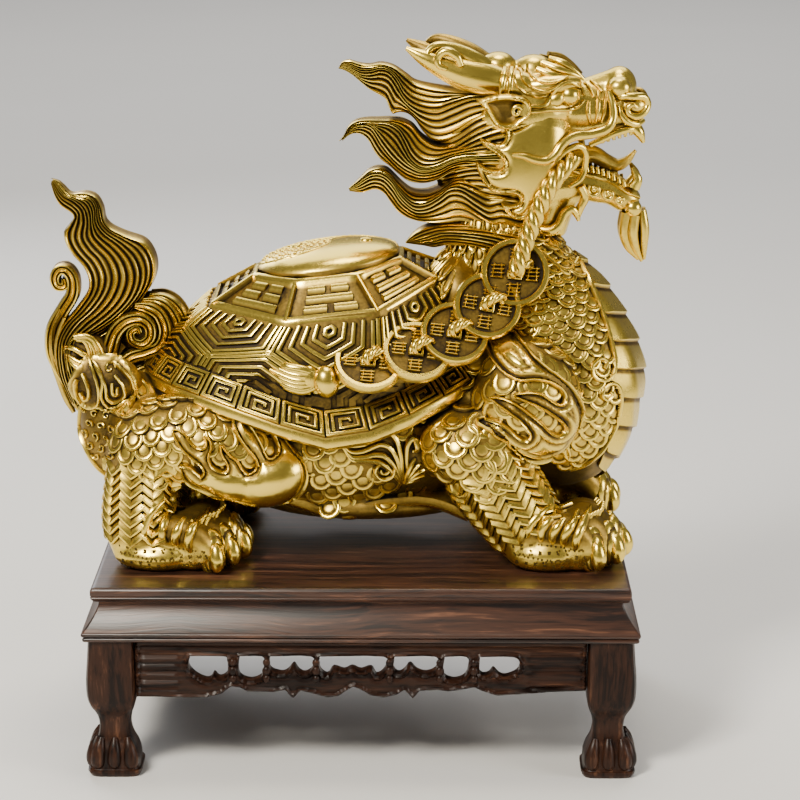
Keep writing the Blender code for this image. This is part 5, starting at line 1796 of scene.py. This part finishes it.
# Eyes, lids, brow folds and tufts
head.roll(ball((113.4, -17.0, 337), (5.3, 5.0, 5.3)), 1.0, both=True)
head.roll(ball((106.4, -18.8, 335.0), (5.2, 3.2, 4.0), 38), 0.9, both=True)
LIDS = [
    [
        (90, 331.5, 1.0), (95, 332.2, 1.4), (100.3, 332.4, 1.5), (103.3, 335.6, 1.5), (105.9, 340.2, 1.5),
        (110, 343.4, 1.4), (115, 343.4, 1.3), (119.5, 340, 1.1), (121, 336, 0.9)
    ],
    [(94, 329.4, 0.9), (103.3, 330.2, 1.2), (112.6, 329.6, 1.3), (117.8, 330.8, 1.2), (121, 334, 0.9)],
    [
        (92.4, 351.5, 0.9), (92.9, 347.8, 1.1), (97.1, 344.8, 1.2), (103.2, 343.8, 1.2),
        (108.6, 344.8, 1.1), (112.4, 346.3, 0.9)
    ],
    [
        (88.6, 350.1, 0.9), (89.8, 345.5, 1.1), (93.7, 341.8, 1.2), (100.2, 340.0, 1.2),
        (106.3, 341.9, 1.1), (109.5, 344, 0.9)
    ],
    [(85.5, 348.5, 0.8), (86.6, 343.2, 1.0), (91.5, 338.6, 1.1), (97.5, 336.6, 1.1), (101.5, 337.0, 0.8)],
    [(123.5, 333.5, 0.9), (123.0, 328.1, 1.4), (124.5, 321.1, 0.9)],
    [(128.1, 337.4, 0.9), (128.2, 331.2, 1.4), (127.2, 322.7, 0.9)],
    [(131.9, 337.9, 0.9), (132.0, 331.2, 1.3), (129.9, 322.7, 0.9)],
    [(121.5, 341.5, 0.8), (124.5, 338.5, 1.1), (126.0, 335, 0.8)],
    [(124.5, 342.5, 0.8), (128.5, 340, 1.1), (130.0, 337.4, 0.8)],
    [
        (118, 301.5, 0.9), (123, 298.6, 1.2), (129.1, 297.2, 1.2), (137, 293.9, 1.2), (143.3, 289.4, 1.2),
        (150, 286.6, 0.9)
    ],
    [
        (119, 297.0, 0.8), (124, 294.4, 1.0), (130, 293.4, 1.0), (137.5, 290.2, 1.0), (143.5, 286.0, 1.0),
        (150.5, 282.6, 0.8)
    ],
]
for line in LIDS:
    banded(head, head_skin, line, 1.9, depth=-12.0, steps=5, sunk=0.3)
for tuft in (
    [(97, -15, 350.0, 1.4), (104, -17, 347.4, 1.9), (112, -16, 345.4, 1.5), (116, -15, 345.2, 0.9)],
    [(99.5, -12, 352.8, 1.4), (107, -15, 350.2, 1.9), (114, -14.5, 347.6, 1.5), (118.5, -13, 345.6, 0.9)],
    [(103.5, -9, 354.6, 1.3), (110, -12, 352.6, 1.8), (116, -12, 348.6, 1.5), (121, -11, 344.0, 0.9)],
):
    tube(tuft)

# Nose, lips, teeth and tongue
NOSTRIL = [
    (137, -9, 333.6, 1.6), (140.6, -11.5, 335.6, 1.9), (146, -12, 335.6, 2.0), (151.3, -9.5, 335.0, 2.0),
    (153.4, -8, 331, 2.0),
    (151.5, -9.5, 327.1, 1.9), (147.7, -11, 325.4, 1.8), (143.8, -12, 326.9, 1.6),
    (143.0, -12.4, 329.8, 1.4), (145.4, -12.6, 331.6, 1.2), (147.8, -12.2, 330.0, 0.9),
]
tube(NOSTRIL)
tube(
    [
        (139, -11, 330.6, 1.2), (140, -12, 326.6, 1.7), (143, -12, 323.0, 1.8), (148, -10, 321.4, 1.7),
        (151.5, -6, 322.6, 1.4)
    ]
)
tube(
    [
        (124, -15, 311.5, 1.4), (130, -13.5, 314.0, 1.8), (136, -11.5, 316.6, 1.9), (143, -10, 318.6, 1.9),
        (149, -7.5, 318.6, 1.5)
    ],
    0.95
)
tube([(146.5, -7, 320.5, 3.4), (149.6, -8, 316.5, 2.8), (151.8, -7.8, 311.6, 0.9)])
tube([(147.5, -6.5, 288.5, 3.4), (149.2, -7.2, 293.0, 2.5), (146.6, -7.4, 298.6, 0.9)])
for step in range(6):
    x = 130.5 + 2.9 * step
    tube(
        [
            (x, -11.2 + step * 0.5, 315.2 + step * 0.75, 1.5),
            (x + 0.4, -11.2 + step * 0.5, 311.8 + step * 0.75, 0.6)
        ]
    )
for step in range(8):
    x = 123.5 + 2.7 * step
    tube(
        [
            (x, -8.6, 297.0 - 0.045 * (x - 122) ** 1.7, 1.3),
            (x - 0.2, -8.6, 300.4 - 0.045 * (x - 122) ** 1.7, 0.55)
        ]
    )
head.roll(
    lock(
        [
            (116, 0, 302, 6), (126, 0, 304.5, 4.6), (133, 0, 301, 4.0), (139, 0, 298.8, 3.4),
            (144, 0, 301, 2.4), (148.6, 0, 306.4, 0.8)
        ],
        flat=1.5
    ),
    0.45
)
tube(
    [
        (104, -24, 299, 1.2), (106.8, -23.4, 304.5, 1.7), (111.5, -21.5, 309.4, 1.8),
        (118.4, -18.5, 311.6, 1.8), (122.0, -16.5, 307.6, 1.7), (122.0, -14.5, 300.0, 1.6),
        (119.6, -15.5, 294.1, 1.6), (114.0, -18.5, 290.6, 1.0)
    ],
    0.95
)
WHISKER = [
    (133.2, -12.5, 338.5, 1.4), (135.3, -14, 331.9, 2.1), (135.6, -15, 324.9, 2.3),
    (132.5, -16.5, 320.0, 2.4), (124.9, -18.6, 317.6, 2.4), (115.7, -21.5, 317.0, 2.4),
    (109.6, -24.2, 313.1, 2.4), (106.6, -25.6, 308.8, 2.3), (102.0, -27.0, 305.5, 2.2),
    (95.9, -28.0, 306.1, 2.0), (90.5, -28.4, 308.0, 1.6), (84.6, -28.4, 308.6, 0.9),
]
tube(WHISKER)

# Curls and beads on the jaw, the hook under the chin, and the beard
for x, z, radius in ((127.3, 287.6, 3.6), (134.7, 285.4, 2.9), (140.6, 282.6, 2.3)):
    tube([(a, -10.4, c, half) for a, c, half in spiral((x, z), radius, 1.3, 2.4, thick=1.25)])
    head.roll(ball((x, -9.0, z), (radius * 0.45, 2.4, radius * 0.45)), 1.0, both=True)
head.roll(ball((147.4, -6.5, 277.6), (4.4, 4.0, 4.6)), 1.0, both=True)
tube(
    [
        (99.5, -13.5, 268.0, 2.2), (105.0, -14.5, 267.4, 2.8), (109.4, -14.5, 270.6, 2.6),
        (112.0, -14, 276.3, 2.4), (115.8, -13.5, 278.4, 2.1), (118.4, -13, 275.0, 1.6),
        (119.4, -13, 272.2, 0.9)
    ],
    0.95
)
tube(
    [
        (118.9, -12.5, 273.0, 0.9), (120.4, -12.5, 279.2, 2.0), (122.4, -12, 284.5, 2.4),
        (120, -13, 290, 2.4)
    ],
    0.95
)
BEARD = [
    [(144.4, -5, 275, 3.0), (143.2, -5, 265.5, 2.9), (145.4, -4, 257.5, 2.3), (151.0, -2, 250.2, 0.9)],
    [(148.4, -6, 274, 2.8), (147.6, -6, 264.5, 2.8), (149.4, -4, 256.5, 2.2), (152.8, -1.5, 249.2, 0.9)],
    [(152.2, -3.5, 276, 2.4), (153.6, -4, 266.5, 2.6), (153.6, -3, 258.0, 2.1), (154.0, -1, 250.0, 0.9)],
]
for strand in BEARD:
    tube(strand, 0.8)
head.roll(lock([(148.5, 0, 273, 5.5), (148.5, 0, 263, 4.6), (152, 0, 251, 1)]), 0.3)

# Horns: each swept back from a collar, with a stub that curls round a hole
HORN = [
    (86, -12, 340, 6.6), (78, -13, 342.8, 7.8), (70, -14, 344.8, 8.6), (60, -15, 347.6, 8.2),
    (50, -16, 351.4, 6.4), (40, -17, 356, 4), (31.5, -17, 360.5, 1)
]
TINE = [
    (72, -12, 350, 4.6), (64, -13, 355, 4.6), (55, -14, 359.4, 3.6), (47, -16, 361.2, 2.6),
    (42.5, -18, 358.6, 1.8), (43.6, -19.5, 355.6, 1.2)
]
tube(HORN)
tube(TINE)
tube(
    [
        (59, -22.0, 352.4, 1.6), (56.6, -22.2, 357.2, 2.2), (51.4, -21.6, 359.6, 2.3),
        (47.4, -21.2, 356.6, 2.1), (48.0, -21.6, 352.4, 1.7), (52.0, -22.4, 350.8, 1.2)
    ]
)
for x, lean in ((80.5, 1.0), (84.0, 0.4)):
    tube(
        [
            (x - 1.4, -18.6, 335.4, 0.9), (x - lean, -21.0, 340.4, 1.5), (x, -19.4, 346.6, 1.6),
            (x + 0.6, -14.0, 350.4, 1.0)
        ]
    )
casting_head = head.cast("casting_head", smooth_brass)
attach(casting_head, "root")
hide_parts("dragon_turtle")


# Stand: dark, fine-grained hardwood, waxed. The top board and the moulded ledge are planed with their edges
# rounded, the cabriole legs end in clawed feet on pads, and the aprons are fretted and beaded.
STAND_MIDDLE_X = 9.4
TOP_HALF_LENGTH = 135.0
TOP_HALF_DEPTH = 88.0
LEDGE_BOTTOM = 72.6
LEDGE_OUTSET = 5.0
LEG_CORNER = LEDGE_OUTSET - 1.0
LEG_SECTIONS = [
    (0.0, 1.4, 26.4), (2.0, 0.2, 27.4), (3.6, 0.1, 27.4), (4.4, 1.2, 26.4), (9.0, 1.4, 26.0),
    (14.0, 2.6, 24.6), (19.0, 4.9, 22.4),
    (25.0, 6.0, 21.4), (31.0, 5.2, 22.4), (37.0, 2.0, 24.4), (43.0, 0.4, 25.2), (52.0, 0.2, 25.2),
    (60.0, 0.8, 25.2), (72.5, 1.6, 25.2),
]
streaks = bpy.data.node_groups.new("streaked wood", "ShaderNodeTree")
group_socket(streaks, "Vector", "Grain scale")
group_socket(streaks, "Color", "Dark", (0.011, 0.0055, 0.004, 1.0))
group_socket(streaks, "Color", "Middle", (0.045, 0.018, 0.010, 1.0))
group_socket(streaks, "Color", "Light", (0.155, 0.066, 0.034, 1.0))
for kind, name in (("Color", "Colour"), ("Float", "Height")):
    group_socket(streaks, kind, name, way="OUTPUT")
given = streaks.nodes.new("NodeGroupInput").outputs
shown = streaks.nodes.new("NodeGroupOutput").inputs
place = streaks.nodes.new("ShaderNodeTexCoord").outputs["Object"]
bend = node(streaks, "TexNoise", {}, Vector=place, Scale=14.0, Detail=2.0).outputs["Color"]
bent = node(streaks, "VectorMath", {"operation": "SCALE"}, i0=bend, Scale=0.010).outputs[0]
moved = node(streaks, "VectorMath", {"operation": "ADD"}, i0=place, i1=bent).outputs[0]
drawn_out = node(
    streaks, "VectorMath", {"operation": "MULTIPLY"}, i0=moved, i1=given["Grain scale"]
).outputs[0]
broad = node(streaks, "TexNoise", {}, Vector=drawn_out, Scale=1.0, Detail=3.0, Roughness=0.6).outputs["Fac"]
fine = node(streaks, "TexNoise", {}, Vector=drawn_out, Scale=3.4, Detail=3.0, Roughness=0.7).outputs["Fac"]
vein = math_node(
    streaks, "ADD", math_node(streaks, "MULTIPLY", broad, 0.6), math_node(streaks, "MULTIPLY", fine, 0.4)
)
first_step = node(
    streaks, "MapRange", {"interpolation_type": "SMOOTHSTEP"}, Value=vein, From_Min=0.40, From_Max=0.53
).outputs["Result"]
second_step = node(
    streaks, "MapRange", {"interpolation_type": "SMOOTHSTEP"}, Value=vein, From_Min=0.54, From_Max=0.68
).outputs["Result"]
base_tone = node(
    streaks, "Mix", {"data_type": "RGBA"}, Factor=first_step, i6=given["Dark"], i7=given["Middle"]
).outputs[2]
full_tone = node(
    streaks, "Mix", {"data_type": "RGBA"}, Factor=second_step, i6=base_tone, i7=given["Light"]
).outputs[2]
streaks.links.new(full_tone, shown["Colour"])
streaks.links.new(vein, shown["Height"])


def wood_finish(name, grain, sheen=0.5, painted_shade_factor=1.0):
    """Dark waxed wood whose grain is drawn out where this scale is small. All its tones are multiplied by the
    painted shade factor, which paints shade where it is below one.
    """
    made = bpy.data.materials.new(name)
    made.use_nodes = True
    tree = made.node_tree
    shader = tree.nodes["Principled BSDF"]
    skin = tree.nodes.new("ShaderNodeGroup")
    skin.node_tree = streaks
    skin.inputs["Grain scale"].default_value = grain
    for tone in ("Dark", "Middle", "Light"):
        skin.inputs[tone].default_value = [
            *(part * painted_shade_factor for part in skin.inputs[tone].default_value[:3]), 1.0
        ]
    shader.inputs["Specular IOR Level"].default_value = sheen
    tree.links.new(skin.outputs["Colour"], shader.inputs["Base Color"])
    bumped = node(
        tree, "Bump", {}, Strength=0.35, Distance=0.0005, Height=skin.outputs["Height"]
    ).outputs["Normal"]
    tree.links.new(bumped, shader.inputs["Normal"])
    shader.inputs["Roughness"].default_value = 0.36
    return made


# The aprons and legs use copies of the same wood with every tone darkened to 0.55 or 0.6 and with less sheen.
# The darker colour is painted shade, not a darker wood.
lengthwise_wood = wood_finish("wood along the stand", (9.0, 210.0, 210.0))
apron_wood_in_painted_shade = wood_finish("wood of the long aprons, darkened for painted shade", (9.0, 210.0, 210.0), 0.18, 0.55)
crosswise_wood_in_painted_shade = wood_finish("wood of the short aprons, darkened for painted shade", (210.0, 9.0, 210.0), 0.18, 0.55)
upright_wood_in_painted_shade = wood_finish("wood of the legs, darkened for painted shade", (190.0, 190.0, 14.0), 0.18, 0.6)


def board(name, sections, node_name):
    """A moulded board with softly rounded corners, through (height, outset) sections from the bottom up."""
    wax = Wax()
    rings = []
    for height, outset in sections:
        half_x, half_y = TOP_HALF_LENGTH + outset, TOP_HALF_DEPTH + outset
        ring = []
        for sx, sy, start in ((1, 1, 0), (-1, 1, 90), (-1, -1, 180), (1, -1, 270)):
            for step in range(4):
                angle = math.radians(start + 30 * step)
                ring.append(
                    (
                        STAND_MIDDLE_X + sx * (half_x - 1.0) + math.cos(angle),
                        sy * (half_y - 1.0) + math.sin(angle), height
                    )
                )
        rings.append(ring)
    wax.roll(np.array(rings), 0.0)
    made = wax.cast(name, lengthwise_wood, 35.0)
    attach(made, "root")
    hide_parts(node_name)
    return made


TOP = 100.0
UNDER = 91.8
board(
    "top_board",
    [
        (UNDER, -3.0), (UNDER + 0.5, -1.6), (UNDER + 1.2, -0.6), (UNDER + 2.2, 0.0), (UNDER + 2.9, 0.35),
        (UNDER + 3.3, 0.1), (UNDER + 3.8, 0.1),
        (UNDER + 4.2, 0.4), (TOP - 2.4, 0.4), (TOP - 1.6, 0.25), (TOP - 0.9, -0.1), (TOP - 0.4, -0.6),
        (TOP - 0.1, -1.2), (TOP, -2.0),
    ],
    "stand_top",
)
lip = LEDGE_BOTTOM + 5.4
high = UNDER - 0.05
cove = [
    (lip + (high - lip) * t, -3.6 + (LEDGE_OUTSET + 2.6) * (1.0 - t) ** 1.5) for t in np.linspace(0, 1, 10)
]
bead = [
    (LEDGE_BOTTOM + 1.25 + 1.2 * math.sin(a), 3.2 + 1.2 * math.cos(a)) for a in np.linspace(-1.5, 1.3, 7)
]
upper_bead = [
    (LEDGE_BOTTOM + 4.0 + 1.3 * math.sin(a), LEDGE_OUTSET - 1.3 + 1.3 * math.cos(a))
    for a in np.linspace(-1.4, 1.2, 7)
]
board("moulded_ledge", [(LEDGE_BOTTOM, 1.6), *bead, *upper_bead, *cove], "stand_ledge")


def carved_leg(name, side_x, side_y):
    """A cabriole leg: rounded square sections, three toes on each outer face, and a pad."""
    corner = np.array(
        (
            STAND_MIDDLE_X + side_x * (TOP_HALF_LENGTH + LEG_CORNER),
            side_y * (TOP_HALF_DEPTH + LEG_CORNER), 0.0
        )
    )
    angle = np.arange(40) * 2 * math.pi / 40
    c, s = np.cos(angle), np.sin(angle)
    square = (np.abs(c) ** 6 + np.abs(s) ** 6) ** (-1 / 6)
    wax = Wax()
    rings = []
    for height, outer, inner in curve(LEG_SECTIONS, 3):
        half, middle = (inner - outer) / 2, (inner + outer) / 2
        x, y = middle - half * square * c, middle - half * square * s
        rings.append(
            np.stack([corner[0] - side_x * x, corner[1] - side_y * y, np.full(40, height)], axis=-1)
        )
    wax.roll(np.array(rings), 0.0)
    for face in range(2):
        for spot in (5.6, 13.9, 22.2):
            toe = [
                (spot * 0.8 + 2.8, 5.2, 20.0, 1.6), (spot * 0.9 + 1.4, 3.8, 15.5, 3.0),
                (spot, 3.2, 10.0, 4.0), (spot, 3.4, 6.6, 3.7), (spot, 4.0, 4.6, 2.2)
            ]
            rows = [((a, b, z, r) if face else (b, a, z, r)) for a, b, z, r in toe]
            wax.roll(
                lock([(corner[0] - side_x * a, corner[1] - side_y * b, z, r) for a, b, z, r in rows]), 0.0
            )
    made = wax.cast(name, upright_wood_in_painted_shade, 35.0)
    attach(made, "root")
    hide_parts("stand_leg_" + name.removeprefix("carved_leg_"))


for end, side_x in (("left", -1), ("right", 1)):
    for side, side_y in (("front", -1), ("back", 1)):
        carved_leg(f"carved_leg_{side}_{end}", side_x, side_y)
LONG_LOWER_EDGE = [
    (-92.6, 42.2), (-81.4, 41.9), (-68.4, 42.0), (-60.9, 44), (-56.1, 48.0), (-51.5, 47.3), (-47.8, 45.3),
    (-34.7, 45), (-28.8, 46.2),
    (-26.6, 43.2), (-25, 41.6), (-23.4, 43.2), (-21.2, 45.8), (-16.1, 44.6), (-7.7, 42.2), (-2.1, 42.9),
    (2.6, 46.2), (5.4, 48.0),
    (8.9, 46.6), (14.5, 43.2), (21, 42.3), (27.5, 43.8), (31.3, 46.4), (33.7, 43.6), (35.5, 41.8),
    (37.2, 43.6), (38.9, 45.8),
    (48, 46.4), (53.6, 45.6), (60, 46.6), (66.6, 47.8), (70.4, 45.9), (77.9, 43.4), (89, 44.2), (104, 45.6),
]
LONG_HOLES = [
    [
        (-76.3, 64.0), (-60.0, 64.0), (-57.9, 62.5), (-57.9, 54.6), (-62, 52.0), (-64.6, 54.6),
        (-67.0, 51.2), (-71.9, 52.4), (-76.4, 56.3), (-77.6, 60)
    ],
    [(-51.4, 64.0), (-40.2, 64.0), (-39.4, 60), (-40.4, 53.4), (-45.8, 50.8), (-51.4, 53.0), (-52.4, 58)],
    [
        (-36.4, 64.0), (-15.2, 64.0), (-14.8, 57.6), (-18.6, 54.4), (-22.0, 56.0), (-24.3, 59.4),
        (-27.2, 56.0), (-30.6, 54.6), (-36.4, 57)
    ],
    [
        (-11.3, 64.0), (21.2, 64.0), (21.4, 57), (17.4, 53.6), (14.6, 57.6), (9.4, 56.0), (5.0, 57.8),
        (1.0, 56.0), (-4.4, 57.6), (-7.4, 53.6), (-11.4, 57)
    ],
    [
        (26.4, 64.0), (47.2, 64.0), (47.2, 57.2), (42.0, 54.8), (37.4, 56.4), (34.1, 59.6), (31.4, 56.2),
        (28.2, 54.6), (25.8, 57.6)
    ],
    [(51.6, 64.0), (62.6, 64.0), (63.4, 58), (61.8, 53.4), (56.8, 51.2), (51.6, 53.0), (50.8, 58)],
    [
        (69.2, 64.0), (86.0, 64.0), (89.2, 60.6), (88.2, 56.0), (82.4, 53.2), (78.6, 54.4), (76.0, 57.2),
        (73.4, 54.2), (69.2, 55.0)
    ],
]
SHORT_LOWER_EDGE = [
    (-50, 42.6), (-30, 43.2), (-22, 47.2), (-14, 44.6), (-2.6, 45.4), (0, 41.8), (2.6, 45.4), (14, 44.6),
    (22, 47.2), (30, 43.2), (50, 42.6)
]
SHORT_HOLES = [
    [(-44, 64), (-24, 64), (-23.4, 57), (-29, 54), (-34, 58.6), (-39, 54), (-44.6, 57)],
    [(-14, 64), (14, 64), (14, 57), (7, 54.4), (0, 59.4), (-7, 54.4), (-14, 57)],
    [(44, 64), (24, 64), (23.4, 57), (29, 54), (34, 58.6), (39, 54), (44.6, 57)],
]
BEADED_EDGE = [
    (0, -0.9), (0.35, 0.2), (1.0, 0.75), (1.65, 0.2), (2.0, -0.7), (2.6, -0.5), (4.0, 0.1), (20, 0.1)
]


def pierced_apron(side, along_x, face, lower_edge, holes, buds, reeds, material):
    """A fretted board as long as its node, beaded round its openings, with reeded ends and budded posts."""
    plain = bpy.data.objects["stand_apron_" + side]
    box = np.array([tuple(plain.matrix_world @ Vector(corner)) for corner in plain.bound_box]) / MM
    low, high = box.min(axis=0), box.max(axis=0)
    run, across = (0, 1) if along_x else (1, 0)
    start, end, top = low[run] + 0.05, high[run] - 0.05, high[2] - 0.05
    outline = [
        (end, top), (start, top), (start, lower_edge[0][1]), *lower_edge, (end, lower_edge[-1][1] + 0.6)
    ]
    flat, faces, edge = sheet([outline, *map(looped, holes)], 1.1)
    proud = np.interp(edge, *zip(*BEADED_EDGE))
    ends = np.clip((np.abs(flat[:, 0] - sum(reeds) / 2) - (reeds[1] - reeds[0]) / 2) / 3.0, 0, 1)
    proud = proud + 0.55 * ends * np.sin(flat[:, 1] * 2 * math.pi / 4.4) * (flat[:, 1] < top - 4)
    outer, inner = (low[across], high[across]) if face < 0 else (high[across], low[across])

    def place(depth):
        found = np.empty((len(flat), 3))
        found[:, run], found[:, across], found[:, 2] = flat[:, 0], depth, flat[:, 1]
        return found

    wax = Wax()
    thickened(wax, place(outer + face * proud), place(np.full(len(flat), inner)), faces, 0.0)
    for spot in buds:
        for z, size in ((52.5, 1.9), (56.8, 2.2), (61.2, 1.9)):
            middle = np.empty(3)
            middle[run], middle[across], middle[2] = spot, outer + face * 0.2, z
            wax.roll(ball(middle, (size, size * 0.8, size * 1.15), rings=10, around=12), 0.0)
    made = wax.cast("fretted_apron_" + side, material, 35.0)
    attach(made, "root")
    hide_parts(plain.name)


for side, face in (("front", -1.0), ("back", 1.0)):
    pierced_apron(
        side, True, face, LONG_LOWER_EDGE, LONG_HOLES, (-54.9, -38.0, -13.1, 23.8, 49.1, 66.3),
        (-80.0, 92.0), apron_wood_in_painted_shade
    )
for side, face in (("left", -1.0), ("right", 1.0)):
    pierced_apron(
        side, False, face, SHORT_LOWER_EDGE, SHORT_HOLES, (-18.7, 18.7), (-48.0, 48.0), crosswise_wood_in_painted_shade
    )
